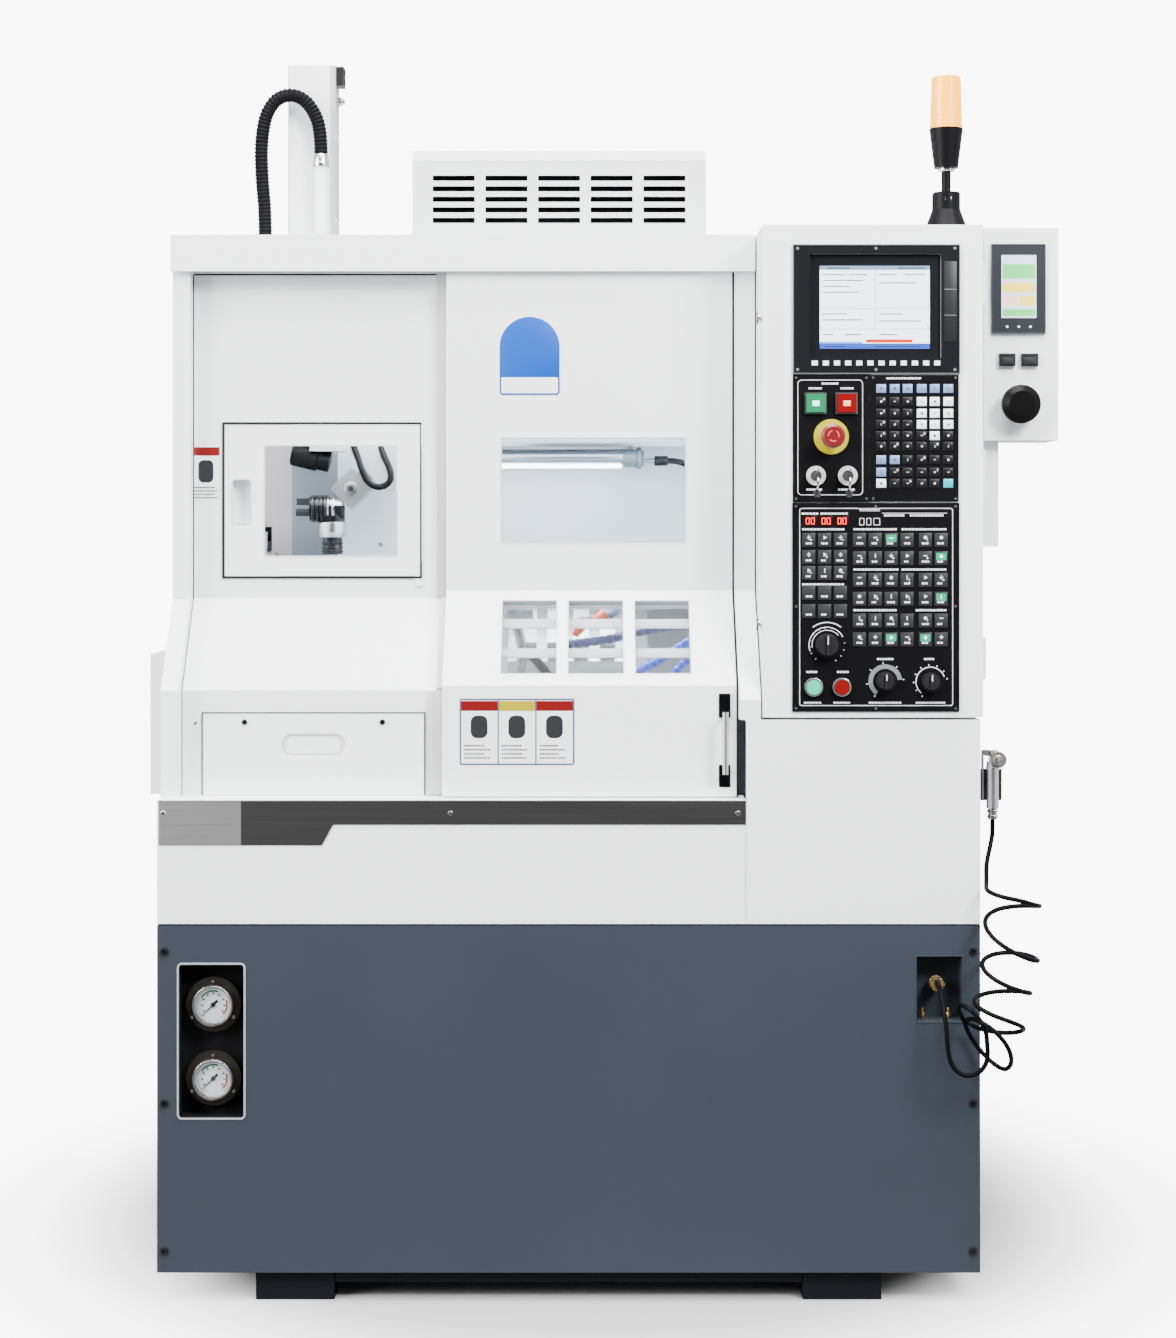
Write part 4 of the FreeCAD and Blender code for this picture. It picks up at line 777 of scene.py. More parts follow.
rod(mesh, "x", 139, TUBE_Y, 1446, 4.5, 24)
made(mesh, "chamber_lamp_housing", alloy, "machine", 0.6)
mesh = bmesh.new()
rod(mesh, "x", 100, TUBE_Y, 1451, 17.5, 26, sides=32)
rod(mesh, "x", 126, TUBE_Y, 1451, 21, 9, sides=32)
rod(mesh, "x", 135, TUBE_Y, 1451, 15, 5, sides=32)
made(mesh, "chamber_lamp_cap", cap_grey, "machine", 1.2)
blocks("chamber_lamp_tube", finish("lit_tube", (0.95, 0.98, 1), 0.3, grain_depth=0.0, glow=9), "machine", [
    (-240, 98, 490, 510, 1432, 1440)], 3)
build("chamber_lamp_plug", rubber, "machine", 2, (rod, "x", 160, TUBE_Y, 1446, 9.5, 26))


def smooth_route(name, points, radius=0.0):
    """A NURBS line past its points, in metres, with a round section if it has a radius."""
    curve = bpy.data.curves.new(name, "CURVE")
    curve.dimensions = "3D"
    spline = curve.splines.new("NURBS")
    spline.points.add(len(points) - 1)
    for spot, point in zip(spline.points, points):
        spot.co = (*point, 1)
    spline.order_u = 3
    spline.use_endpoint_u = True
    spline.resolution_u = 12
    curve.bevel_depth = radius
    curve.bevel_resolution = 5
    curve.use_fill_caps = radius > 0
    route = bpy.data.objects.new(name, curve)
    bpy.context.collection.objects.link(route)
    return route


def fixed_pipe(name, material, body, points, radius):
    """A pipe or wire that is clipped in place from end to end."""
    pipe = smooth_route(name, [at(*p) for p in points], radius * MM)
    pipe.data.materials.append(material)
    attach(pipe, body)
    return pipe


fixed_pipe("chamber_lamp_wire", rubber, "machine",
           [(184, TUBE_Y, 1446), (205, TUBE_Y, 1446), (228, 502, 1436), (246, 510, 1412), (262, 530, 1380),
            (268, 545, 1330), (270, 556, 1300)], 6)

# ---------------------------------------------------------------- coolant hoses
# Snap-together hoses of blue plastic segments bring the coolant to the tool. Each segment's ball sits in the
# next one's cup. The two dark hoses end in orange nozzles; the bright ones come from the right-hand wall.
bead_tree, into, out = new_tree("hose_segments", ("Route", "Geometry"), ("Radius", "Float", 0.006),
                                ("Pitch", "Float", 0.01), ("Finish", "Material"))
seats = step(bead_tree, "GeometryNodeCurveToPoints", {"mode": "LENGTH"}, Curve=(into, "Route"),
             Length=(into, "Pitch"))
ball = step(bead_tree, "GeometryNodeMeshUVSphere", Segments=16, Rings=10, Radius=(into, "Radius"))
neck = maths(bead_tree, "MULTIPLY", (into, "Radius"), 0.62)
skirt = maths(bead_tree, "MULTIPLY", (into, "Radius"), 0.98)
cup = step(bead_tree, "GeometryNodeMeshCone", Vertices=16, Radius_Top=(neck, 0), Radius_Bottom=(skirt, 0),
           Depth=(into, "Pitch"))
link_up = step(bead_tree, "GeometryNodeJoinGeometry", Geometry=(ball, 0))
bead_tree.links.new(cup.outputs[0], link_up.inputs[0])
copies = step(bead_tree, "GeometryNodeInstanceOnPoints", Points=(seats, "Points"), Instance=(link_up, 0),
              Rotation=(seats, "Rotation"))
close_tree(bead_tree, into, out, copies, 0)


def coolant_hose(name, material, points, radius, pitch):
    """A hose of segments from the first point to the last."""
    piece = run_nodes(smooth_route(name, [at(*p) for p in points]), bead_tree, Radius=radius * MM,
                      Pitch=pitch * MM, Finish=material)
    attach(piece, "machine")


deep_blue = finish("hose_deep_blue", (0.003, 0.006, 0.09), 0.3, grain_depth=0.01)
bright_blue = finish("hose_bright_blue", (0.002, 0.04, 0.42), 0.3, grain_depth=0.01)
orange = finish("nozzle_orange", (0.55, 0.07, 0.002), 0.35, grain_depth=0.01)
coolant_hose("coolant_hose_high", deep_blue,
             [(60, 318, 1200), (82, 290, 1178), (78, 262, 1160), (52, 250, 1152), (26, 246, 1148)], 10, 15)
coolant_hose("coolant_hose_low", deep_blue,
             [(283, 300, 1140), (200, 285, 1140), (120, 262, 1128), (60, 245, 1112), (2, 240, 1108)], 9, 14)
coolant_hose("coolant_hose_right_upper", bright_blue,
             [(283, 235, 1136), (240, 235, 1130), (200, 232, 1104), (160, 228, 1078), (118, 224, 1056)],
             8.5, 13)
coolant_hose("coolant_hose_right_lower", bright_blue,
             [(283, 250, 1110), (245, 248, 1102), (212, 245, 1080), (185, 240, 1052), (170, 238, 1030)],
             8.5, 13)
mesh = bmesh.new()
for x, y, z, lean in ((28, 246, 1150, 215), (66, 240, 1162, 235)):
    cone = Matrix.Translation(at(x, y, z)) @ Matrix.Rotation(math.radians(lean), 4, "Y")
    bmesh.ops.create_cone(mesh, cap_ends=True, segments=24, radius1=0.012, radius2=0.006, depth=0.034,
                          matrix=cone @ Matrix.Translation((0, 0, 0.017)))
made(mesh, "coolant_nozzles", orange, "machine", 1)
blocks("coolant_manifolds", alloy, "machine", [
    (262, 284, 220, 330, 1092, 1152), (46, 100, 300, 319, 1188, 1216)], 1.5)

# ---------------------------------------------------------------- rinse pipe
# A bent stainless pipe with a ball joint washes chips from the chamber's left side. A black hose feeds it.
fixed_pipe("rinse_pipe", finish("pipe_steel", (0.42, 0.4, 0.38), 0.2, shade=0.2, shade_scale=50,
                                Metallic=1.0),
           "machine", [(-100, 240, 862), (-98, 240, 1010), (-88, 238, 1060), (-84, 236, 1110),
                       (-98, 234, 1150)], 9)
fixed_pipe("rinse_hose", rubber, "machine",
           [(20, 262, 862), (0, 258, 960), (-30, 250, 1040), (-62, 245, 1082), (-84, 240, 1100)], 8)
mesh = bmesh.new()
bmesh.ops.create_uvsphere(mesh, u_segments=32, v_segments=20, radius=0.021,
                          matrix=Matrix.Translation(at(-100, 232, 1166)))
rod(mesh, "x", -100, 232, 1166, 15, 34)
made(mesh, "rinse_ball_joint", alloy, "machine", 1)

# ---------------------------------------------------------------- gripper
# The head is a machined alloy block on a 45-degree pivot. A black jaw cylinder points left and one down,
# each with a bright collar; a black swivel drive and its cable sit above, on the column's carrier.
paint(finish("machined_alloy", (0.5, 0.5, 0.49), 0.3, shade=0.12, shade_scale=80, grain_scale=500,
             grain_depth=0.03, Metallic=0.9, patches=[
                 ((0.012, 0.012, 0.013), at(-500, 440, 1326), at(-457, 520, 1381)),
                 ((0.02, 0.02, 0.021), at(-457, 440, 1329), at(-428, 520, 1360))]), "gripper_head")
GRIP_Y = 485
JAWS_Z = 1354
DOWN_X = -454
PIVOT_X, PIVOT_Z = -416, 1392
DRIVE = at(-494, GRIP_Y, 1450)
paint(black_steel, "gripper_jaw_1", "gripper_jaw_2", "gripper_jaw_3")
mesh = bmesh.new()
for k in range(4):
    spun(mesh, "x", -468 - 8 * k, GRIP_Y, JAWS_Z, [(24.5, 0), (26.2, 1), (26.2, 4), (24.5, 5)], 32)
spun(mesh, "z", DOWN_X, GRIP_Y, 1268, [(4, 0), (19, 0), (19, 34), (4, 34)], 32)
for k in range(3):
    spun(mesh, "z", DOWN_X, GRIP_Y, 1270 + 8 * k, [(18.5, 0), (20.5, 1), (20.5, 4), (18.5, 5)], 32)
made(mesh, "gripper_cylinder_rings", black_steel, "gripper", 0)
build("gripper_collars", bright_steel, "gripper", 0.3,
      (spun, "x", -448, GRIP_Y, JAWS_Z, [(24, 0), (27, 0), (27, -5), (24, -5)], 40),
      (spun, "x", -459, GRIP_Y, JAWS_Z, [(24, 0), (26, 0), (26, -3), (24, -3)], 40),
      (spun, "z", DOWN_X, GRIP_Y, 1301, [(20, 0), (26, 0), (26, 27), (24, 27)], 40),
      (spun, "y", PIVOT_X, 456, PIVOT_Z, [(0.5, 0), (13, 0), (13, 3), (0.5, 3)], 40))
mesh = bmesh.new()
rod(mesh, "y", PIVOT_X, 454.5, PIVOT_Z, 5, 2, sides=6)
made(mesh, "gripper_pivot_socket", black_steel, "gripper", 0)
mesh = bmesh.new()
spun(mesh, "x", -532, GRIP_Y, 1452, [(3, 0), (21, 0), (24, 3), (24, 50), (20, 53), (20, 74), (3, 74)], 40)
bmesh.ops.transform(mesh, verts=mesh.verts, matrix=Matrix.Translation(DRIVE)
                    @ Matrix.Rotation(math.radians(14), 4, "Y") @ Matrix.Translation(-DRIVE))
bay_black = finish("matt_black", (0.003, 0.003, 0.0035), 0.5, grain_depth=0.02, Specular_IOR_Level=0.05)
made(mesh, "swivel_drive", bay_black, "loader", 0.6)
fixed_pipe("swivel_drive_cable", bay_black, "loader", [
    (-363, 470, 1500), (-363, 462, 1478), (-352, 448, 1452), (-338, 438, 1424), (-340, 436, 1402),
    (-362, 436, 1392), (-384, 436, 1404), (-394, 438, 1428), (-402, 444, 1452), (-412, 456, 1476),
    (-420, 470, 1500)], 6)

# ---------------------------------------------------------------- control box
# A white sheet box hangs at the machine's right front corner. Its lid hinges on the right, closes on a black
# rubber seal, and is locked by two chrome quarter-turn latches on the left.
blocks("lid_seal", rubber, "machine", [
    (331.5, 703.5, 25, 26.9, 996.5, 999), (331.5, 703.5, 25, 26.9, 1829, 1831.5),
    (331.5, 334, 25, 26.9, 999, 1829), (701, 703.5, 25, 26.9, 999, 1829)], 0)
mesh = bmesh.new()
for z in (1676, 1154):
    spun(mesh, "x", 330, 13, z, [(0.5, 0), (9, 0), (9, -2), (6, -3.5), (6, -8), (0.5, -8)], 32)
    block(mesh, 320, 323.5, 8, 18, z - 11, z + 11)
made(mesh, "lid_latches", bright_steel, "control_lid", 0.5)
mesh = bmesh.new()
for z0, z1 in ((1059, 1129), (1379, 1450), (1700, 1771)):
    for z in (z0 + 9, (z0 + z1) / 2 - 8):
        rod(mesh, "x", 704.9, 21.5, z, 2.2, 1.2, sides=16)
made(mesh, "lid_hinge_rivets", bright_steel, "control_lid", 0.2)

# ---------------------------------------------------------------- display unit and boards
# The display unit and three boards of black plastic are screwed on the lid. White lines are printed round
# the groups. The screen is lit: a white sheet with pale cells, and a blue and a red bar below.
panel_black = finish("board_black", (0.003, 0.003, 0.0035), 0.42, shade=0.1, grain_scale=1200,
                     grain_depth=0.02, Specular_IOR_Level=0.05,
                     patches=[((0.005, 0.0052, 0.0065), at(380, -8, 1578.5), at(666, 8, 1800))])
paint(panel_black, "control_boards")
BOARD = -3
PRINT = BOARD - 0.15
DISPLAY = -5
ink_white = finish("board_print", (0.62, 0.63, 0.65), 0.5, grain_depth=0.01)
ink_grey = finish("board_print_grey", (0.12, 0.125, 0.14), 0.5, grain_depth=0.01)
mesh = bmesh.new()
trim(mesh, 389, 500, 1373, 1569, 1, 7, PRINT, BOARD)
trim(mesh, 392, 653, 1015, 1351, 1.1, 4, PRINT, BOARD)
for x0, x1, z in ((494, 529, 1346), (533, 643, 1342)):
    block(mesh, x0, x1, PRINT, BOARD, z, z + 0.7)
for x0, x1, z0, z1 in ((494, 502.5, 1322, 1334), (506, 514, 1322, 1334), (518, 529, 1322, 1334)):
    trim(mesh, x0, x1, z0, z1, 0.8, 1, PRINT, BOARD)
for k, (x0, x1, z) in enumerate((
        (396, 424, 1340), (428, 474, 1340), (494, 528, 1348), (536, 572, 1337), (580, 640, 1337),
        (397, 470, 1313.5), (484, 560, 1313.5), (566, 642, 1313.5), (397, 470, 1220), (484, 560, 1245),
        (566, 642, 1245), (484, 560, 1176), (590, 642, 1176), (524, 552, 1093), (604, 624, 1093),
        (404, 426, 1071), (456, 476, 1071), (400, 430, 1019), (450, 478, 1019), (510, 566, 1019),
        (590, 640, 1019), (540, 600, 1570), (430, 462, 1561), (408, 430, 1553), (462, 484, 1553),
        (404, 432, 1381), (458, 486, 1381))):
    dashes(mesh, x0, x1, z, 3.1 if k not in (17, 18, 19, 20) else 2.6, BOARD, seed=k)
made(mesh, "board_prints", ink_white, "control_lid", 0)
mesh = bmesh.new()
block(mesh, 638, 659, -5.8, -5, 1634, 1770)
made(mesh, "slot_cover", finish("slot_cover_plastic", (0.01, 0.0105, 0.012), 0.4, grain_depth=0.03,
                                Specular_IOR_Level=0.2), "control_lid", 0.5)
mesh = bmesh.new()
for z in (1678, 1722):
    block(mesh, 638, 659, -6.1, -5.8, z, z + 1)
trim(mesh, 381.4, 664.6, 1579.4, 1798.6, 0.9, 2, -5.3, -5)
made(mesh, "display_edges", ink_grey, "control_lid", 0)
screen_white = finish("screen_light", (0.7, 0.79, 0.88), 0.12, shade=0.0, grain_depth=0.0, glow=0.9, patches=[
    ((0.12, 0.17, 0.25), at(427, -3, 1756), at(614, 3, 1763)),
    ((0.02, 0.05, 0.28), at(427, -3, 1622), at(614, 3, 1631)),
    ((0.16, 0.2, 0.26), at(427, -3, 1690), at(614, 3, 1691)),
    ((0.16, 0.2, 0.26), at(521, -3, 1655), at(522, 3, 1756)),
    ((0.16, 0.2, 0.26), at(427, -3, 1655), at(614, 3, 1656)),
    ((0.12, 0.2, 0.5), at(427, -3, 1631), at(500, 3, 1634)),
    ((0.4, 0.01, 0.01), at(506, -3, 1632.5), at(585, 3, 1638))])
build("screen", screen_white, "control_lid", 0, (slab, rounded(427, 614, 1622, 1763, 0.6), 0.6, 1.6))
mesh = bmesh.new()
for k, (x0, x1, z) in enumerate(((432, 470, 1747), (478, 510, 1747), (432, 500, 1737), (432, 480, 1727),
                                 (432, 495, 1717), (528, 560, 1747), (572, 606, 1747), (528, 590, 1733),
                                 (432, 475, 1680), (432, 500, 1670), (528, 570, 1680), (528, 600, 1668),
                                 (432, 450, 1645), (470, 500, 1645), (530, 560, 1645), (440, 480, 1758),
                                 (560, 606, 1758), (436, 470, 1625), (520, 600, 1625))):
    dashes(mesh, x0, x1, z, 2.2, 0.6, thick=0.1, seed=k + 4)
made(mesh, "screen_rows", finish("screen_rows", (0.01, 0.02, 0.05), 0.4, grain_depth=0.0), "control_lid", 0)
mesh = bmesh.new()
for left in (400, 427, 454):
    block(mesh, left, left + 21, -4, -3, 1321, 1337)
made(mesh, "small_displays", finish("display_smoked_red", (0.03, 0.0005, 0.001), 0.15, grain_depth=0.0,
                                    glow=0.3),
     "control_lid", 0.3)
mesh = bmesh.new()
for left in (400, 427, 454):
    for k in range(2):
        trim(mesh, left + 3 + 8.5 * k, left + 9.5 + 8.5 * k, 1323.5, 1334.5, 1.2, 0.6, -4.2, -4)
made(mesh, "small_display_digits", finish("digits_red", (0.9, 0.03, 0.02), 0.3, grain_depth=0.0, glow=2.5),
     "control_lid", 0)
screws("board_screws", bright_steel, "control_lid",
       [(x, BOARD, z) for x in (386.5, 522, 657.5) for z in (1354, 1010.5)]
       + [(x, BOARD, 1184) for x in (386.5, 657.5)]
       + [(x, BOARD, z) for x in (386.5, 506, 517.5, 657.5) for z in (1367, 1572.5)], 2.6, 1.4)
screws("display_screws", ink_grey, "control_lid",
       [(x, DISPLAY, z) for x in (389, 522, 656) for z in (1586, 1792)], 2.6, 1.2)

# ---------------------------------------------------------------- keys
# Moulded caps with chamfered faces, in black, white, pale blue and cyan, with small printed signs.
# Some of the machine's own keys are lit green from behind.
key_tree, into, out = new_tree("key_caps", ("Points", "Geometry"), ("Wide", "Float", 0.016),
                               ("Tall", "Float", 0.015), ("Thick", "Float", 0.002), ("Finish", "Material"))
rise = maths(key_tree, "MULTIPLY", (into, "Thick"), 0.55)
body_size = step(key_tree, "ShaderNodeCombineXYZ", X=(into, "Wide"), Y=(rise, 0), Z=(into, "Tall"))
stub = step(key_tree, "GeometryNodeMeshCube", Size=(body_size, 0))
facing = step(key_tree, "GeometryNodeInputNormal")
axes = step(key_tree, "ShaderNodeSeparateXYZ", _0=(facing, 0))
front = maths(key_tree, "LESS_THAN", (axes, "Y"), -0.9)
chamfer = maths(key_tree, "MULTIPLY", (into, "Thick"), 0.45)
grown = step(key_tree, "GeometryNodeExtrudeMesh", Mesh=(stub, 0), Selection=(front, 0),
             Offset_Scale=(chamfer, 0))
tapered = step(key_tree, "GeometryNodeScaleElements", Geometry=(grown, "Mesh"), Selection=(grown, "Top"),
               Scale=0.82)
half = maths(key_tree, "MULTIPLY", (into, "Thick"), -0.275)
back = step(key_tree, "ShaderNodeCombineXYZ", Y=(half, 0))
seated = step(key_tree, "GeometryNodeTransform", Geometry=(tapered, 0), Translation=(back, 0))
copies = step(key_tree, "GeometryNodeInstanceOnPoints", Points=(into, "Points"), Instance=(seated, 0))
close_tree(key_tree, into, out, copies, 0)

sign_tree, into, out = new_tree("key_signs", ("Points", "Geometry"), ("Size", "Float", 0.004),
                                ("Seed", "Int", 3), ("Finish", "Material"))
disc = step(sign_tree, "GeometryNodeMeshCylinder", Vertices=10, Radius=0.42, Depth=0.04)
dot = step(sign_tree, "GeometryNodeTransform", Geometry=(disc, 0), Rotation=(math.pi / 2, 0, 0))
upright = step(sign_tree, "GeometryNodeMeshCube", Size=(0.22, 0.04, 1.0))
level_bar = step(sign_tree, "GeometryNodeMeshCube", Size=(0.9, 0.04, 0.24))
wedge = step(sign_tree, "GeometryNodeMeshCylinder", Vertices=3, Radius=0.55, Depth=0.04)
arrow = step(sign_tree, "GeometryNodeTransform", Geometry=(wedge, 0), Rotation=(math.pi / 2, 0, 0))
cross = step(sign_tree, "GeometryNodeJoinGeometry", Geometry=(upright, 0))
sign_tree.links.new(level_bar.outputs[0], cross.inputs[0])
choice = step(sign_tree, "GeometryNodeGeometryToInstance", Geometry=(dot, 0))
for shape in (upright, level_bar, arrow, cross):
    sign_tree.links.new(shape.outputs[0], choice.inputs[0])
pick = step(sign_tree, "FunctionNodeRandomValue", {"data_type": "INT"}, Seed=(into, "Seed"))
pick.inputs[4].default_value = 0
pick.inputs[5].default_value = 4
copies = step(sign_tree, "GeometryNodeInstanceOnPoints", Points=(into, "Points"), Instance=(choice, 0),
              Pick_Instance=True, Instance_Index=(pick, 2), Scale=(into, "Size"))
close_tree(sign_tree, into, out, copies, 0)


def keys(name, material, spots, wide, tall, thick=2.0, y=BOARD):
    """Moulded caps of one size and colour, at (x, z) spots."""
    piece = run_nodes(spots_of(name, [(x, y, z) for x, z in spots]), key_tree, Wide=wide * MM, Tall=tall * MM,
                      Thick=thick * MM, Finish=material)
    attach(piece, "control_lid")
    return piece


def signs(name, material, spots, size, seed, y=-5.05):
    """Small printed shapes picked at random by the seed, at (x, z) spots."""
    piece = run_nodes(spots_of(name, [(x, y, z) for x, z in spots]), sign_tree, Size=size * MM, Seed=seed,
                      Finish=material)
    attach(piece, "control_lid")


key_black = finish("key_black", (0.006, 0.006, 0.007), 0.38, grain_depth=0.02, Specular_IOR_Level=0.15)
key_grey = finish("key_dark_grey", (0.016, 0.0165, 0.019), 0.38, grain_depth=0.02, Specular_IOR_Level=0.25)
key_white = finish("key_white", (0.75, 0.77, 0.8), 0.35, grain_depth=0.02)
key_blue = finish("key_pale_blue", (0.12, 0.19, 0.36), 0.35, grain_depth=0.02)
key_cyan = finish("key_cyan", (0.0, 0.28, 0.34), 0.35, grain_depth=0.02, glow=0.5)
key_ink = finish("key_ink", (0.03, 0.035, 0.05), 0.5, grain_depth=0.01)
lit_green = finish("lit_green", (0.0, 0.2, 0.1), 0.3, grain_depth=0.0, glow=0.7)
PAD_X = (531, 554, 576, 600, 622, 645)
PAD_Z = (1554, 1532, 1512, 1493, 1474, 1456, 1433, 1412, 1393)
pad = [(x, z) for z in PAD_Z for x in PAD_X]
pad_blue = [(x, 1554) for x in PAD_X] + [(531, 1433), (554, 1433), (531, 1412)]
pad_white = [(x, z) for z in PAD_Z[1:4] for x in PAD_X[3:]] + [(622, 1474), (531, 1393)]
pad_cyan = [(645, 1393)]
pad_black = [spot for spot in pad if spot not in pad_blue + pad_white + pad_cyan]
keypad = keys("keypad_black_keys", key_black, pad_black, 16.4, 14.8)
keys("keypad_white_keys", key_white, pad_white, 16.4, 14.8)
keys("keypad_blue_keys", key_blue, pad_blue, 16.4, 14.8)
keys("keypad_cyan_key", key_cyan, pad_cyan, 16.4, 14.8)
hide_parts("panel_keys")
keys("soft_keys", key_white, [(418 + 18.9 * k, 1597) for k in range(12)], 10, 8, 2, -5)
signs("keypad_white_signs", ink_white, pad_black + [(x + 4.4, z + 3.6) for x, z in pad_black[::3]], 4.2, 3)
signs("keypad_dark_signs", key_ink, pad_white + pad_blue, 5.5, 7)
LEFT_KEYS = [(x, z) for z in (1297, 1268, 1241, 1207, 1176) for x in (408, 435, 462)]
RIGHT_KEYS = [(x, z) for z in (1297, 1266, 1229, 1197, 1160, 1128) for x in (494, 521, 548, 575, 606, 633)]
keys("machine_keys", key_grey, LEFT_KEYS + RIGHT_KEYS, 22, 23.4)
LIT = [(548, 1297), (633, 1266), (633, 1197), (548, 1128), (606, 1128)]
dark_keys = [spot for spot in LEFT_KEYS[:9] + RIGHT_KEYS if spot not in LIT]
signs("machine_key_signs_high", ink_white, [(x, z + 4) for x, z in dark_keys], 7, 11)
signs("machine_key_signs_mid", ink_white, [(x + 3.5, z) for x, z in dark_keys[::2]], 4.2, 17)
mesh = bmesh.new()
for k, (x, z) in enumerate(LEFT_KEYS + RIGHT_KEYS):
    dashes(mesh, x - 5 - k % 3, x + 5 + k % 2, z - 7.4, 3, -5, seed=k)
made(mesh, "machine_key_captions", ink_white, "control_lid", 0)
mesh = bmesh.new()
for x, z in LIT:
    slab(mesh, rounded(x - 8.6, x + 8.6, z - 3.5, z + 9, 1), -5.2, -5)
made(mesh, "lit_key_windows", lit_green, "control_lid", 0)
signs("lit_key_signs", finish("lit_sign", (0.6, 1, 0.75), 0.3, grain_depth=0, glow=1.5),
      [(x, z + 3) for x, z in LIT], 7, 5, -5.25)

# ---------------------------------------------------------------- buttons, switches and knobs
# Each sits in its own bezel on the boards: a red mushroom on a yellow ring, lit square and round buttons,
# two chrome key switches with their keys, and three fluted black knobs on printed scales.
STOP_X, STOP_Z = 446, 1472
paint(finish("bezel_metal", (0.05, 0.05, 0.052), 0.3, grain_depth=0.01, Metallic=0.3, patches=[
    ((0.34, 0.28, 0.0), at(414, -12, 1440), at(478, 0, 1503)),
    ((0.55, 0.55, 0.54), at(402, -12, 1388), at(492, 0, 1424)),
    ((0.4, 0.4, 0.39), at(398, -12, 1030), at(481, 0, 1064))]), "button_bezels")
mesh = bmesh.new()
spun(mesh, "y", STOP_X, -6.6, STOP_Z, [(12.5, 0.7), (29.6, 0.7), (29.6, 0), (12.5, 0)], 64)
made(mesh, "emergency_yellow_ring", finish("signal_yellow", (0.34, 0.28, 0.0), 0.4, grain_depth=0.02),
     "control_lid", 0)
paint(finish("signal_red", (0.11, 0.001, 0.003), 0.35, shade=0.04, grain_depth=0.02), "emergency_stop")
mesh = bmesh.new()
for turn in (30, 150, 270):
    arc_band(mesh, STOP_X, -45.3, STOP_Z, 8, 10, turn, turn + 75)
made(mesh, "emergency_turn_arrows", finish("pale_red_print", (0.45, 0.08, 0.07), 0.5, grain_depth=0.01),
     "emergency_stop_body", 0)
paint(finish("lens_green", (0.002, 0.12, 0.05), 0.25, grain_depth=0.0, glow=0.5), "green_square_button")
paint(finish("lens_red", (0.12, 0.0, 0.0002), 0.25, grain_depth=0.0, glow=0.25), "red_square_button")
paint(finish("cap_green", (0.0, 0.36, 0.2), 0.3, grain_depth=0.0, glow=0.5), "green_round_button")
paint(finish("cap_red", (0.12, 0.0, 0.0), 0.3, grain_depth=0.0, glow=0.15), "red_round_button")
square_frame = bmesh.new()
for x in (419.5, 472):
    trim(square_frame, x - 18.5, x + 18.5, 1511, 1547, 1.2, 2, -7.4, -7)
made(square_frame, "square_button_rims", bright_steel, "control_lid", 0)
for body, x, pale in (("green_square_button_body", 419.5, (0.5, 0.9, 0.7)),
                      ("red_square_button_body", 472, (0.9, 0.3, 0.2))):
    mesh = bmesh.new()
    block(mesh, x - 6, x + 6, -12.3, -12, 1524, 1533)
    lit = finish(body.replace("body", "sign_light"), pale, 0.3, grain_depth=0.0, glow=1.2)
    made(mesh, body.replace("body", "sign"), lit, body, 0.1)
round_rims = bmesh.new()
for x in (416, 464):
    spun(round_rims, "y", x, -9.6, 1047, [(13, 1.5), (15.6, 1.5), (15.6, 0.4), (14.6, 0), (13, 0)], 48)
made(round_rims, "round_button_rims", bright_steel, "control_lid", 0)
KEYS_Z = 1393
chrome = finish("chrome", (0.72, 0.72, 0.71), 0.12, shade=0.08, shade_scale=30, grain_depth=0.0, Metallic=1.0)
paint(chrome, "left_key_switch", "right_key_switch")
for side, x in (("left", 420), ("right", 474)):
    mesh = bmesh.new()
    spun(mesh, "x", x - 0.9, -40, KEYS_Z, [(8.5, 0), (10, 0), (10, 1.6), (8.5, 1.6)], 32)
    made(mesh, f"{side}_key_ring", chrome, f"{side}_key_switch_body", 0)
    mesh = bmesh.new()
    slab(mesh, rounded(x - 7, x + 5, 1369, 1382, 5), -39.5, -38)
    block(mesh, x - 3, x - 0.5, -39.5, -38, 1374, 1385)
    made(mesh, f"{side}_spare_key", chrome, f"{side}_key_switch_body", 0.2)
MODE_X, MODE_Z = 439, 1118
FEED_X, FEED_Z = 538, 1057
SPEED_X, SPEED_Z = 615, 1056
knob_black = finish("knob_black", (0.005, 0.005, 0.0055), 0.4, grain_depth=0.03, Specular_IOR_Level=0.4)
paint(knob_black, "mode_knob", "feed_override_knob", "speed_override_knob")
for name, x, z, reach in (("mode_knob", MODE_X, MODE_Z, 20), ("feed_override_knob", FEED_X, FEED_Z, 16),
                          ("speed_override_knob", SPEED_X, SPEED_Z, 16)):
    mesh = bmesh.new()
    block(mesh, x - 0.8, x + 0.8, -25.3, -25, z + 2, z + reach - 4)
    made(mesh, f"{name}_pointer", ink_white, f"{name}_body", 0)
    mesh = bmesh.new()
    for k in range(24):
        turn = 2 * math.pi * k / 24
        off = reach - 0.3
        rod(mesh, "y", x + off * math.cos(turn), -18.5, z + off * math.sin(turn), 0.9, 9, sides=8)
    made(mesh, f"{name}_flutes", knob_black, f"{name}_body", 0)
build("scale_lines", ink_white, "control_lid", 0,
      (arc_band, MODE_X, -3.2, MODE_Z, 30, 31.2, -110, 60, 0.2, 48),
      (arc_band, MODE_X, -3.2, MODE_Z, 25, 26, -100, 50, 0.2, 48),
      (arc_band, MODE_X, -3.2, MODE_Z, 38, 39.5, -38, 38, 0.2, 24),
      (arc_band, SPEED_X, -3.2, SPEED_Z, 24, 25.5, -140, 70, 0.2, 48))
build("feed_scale_band", ink_grey, "control_lid", 0,
      (arc_band, FEED_X, -3.2, FEED_Z, 21, 28.5, -145, 85, 0.2, 48))
marks("mode_scale_marks", ink_white, "control_lid", (MODE_X, -3.1, MODE_Z), 30, 14, -140, 150, 2.6, 1)
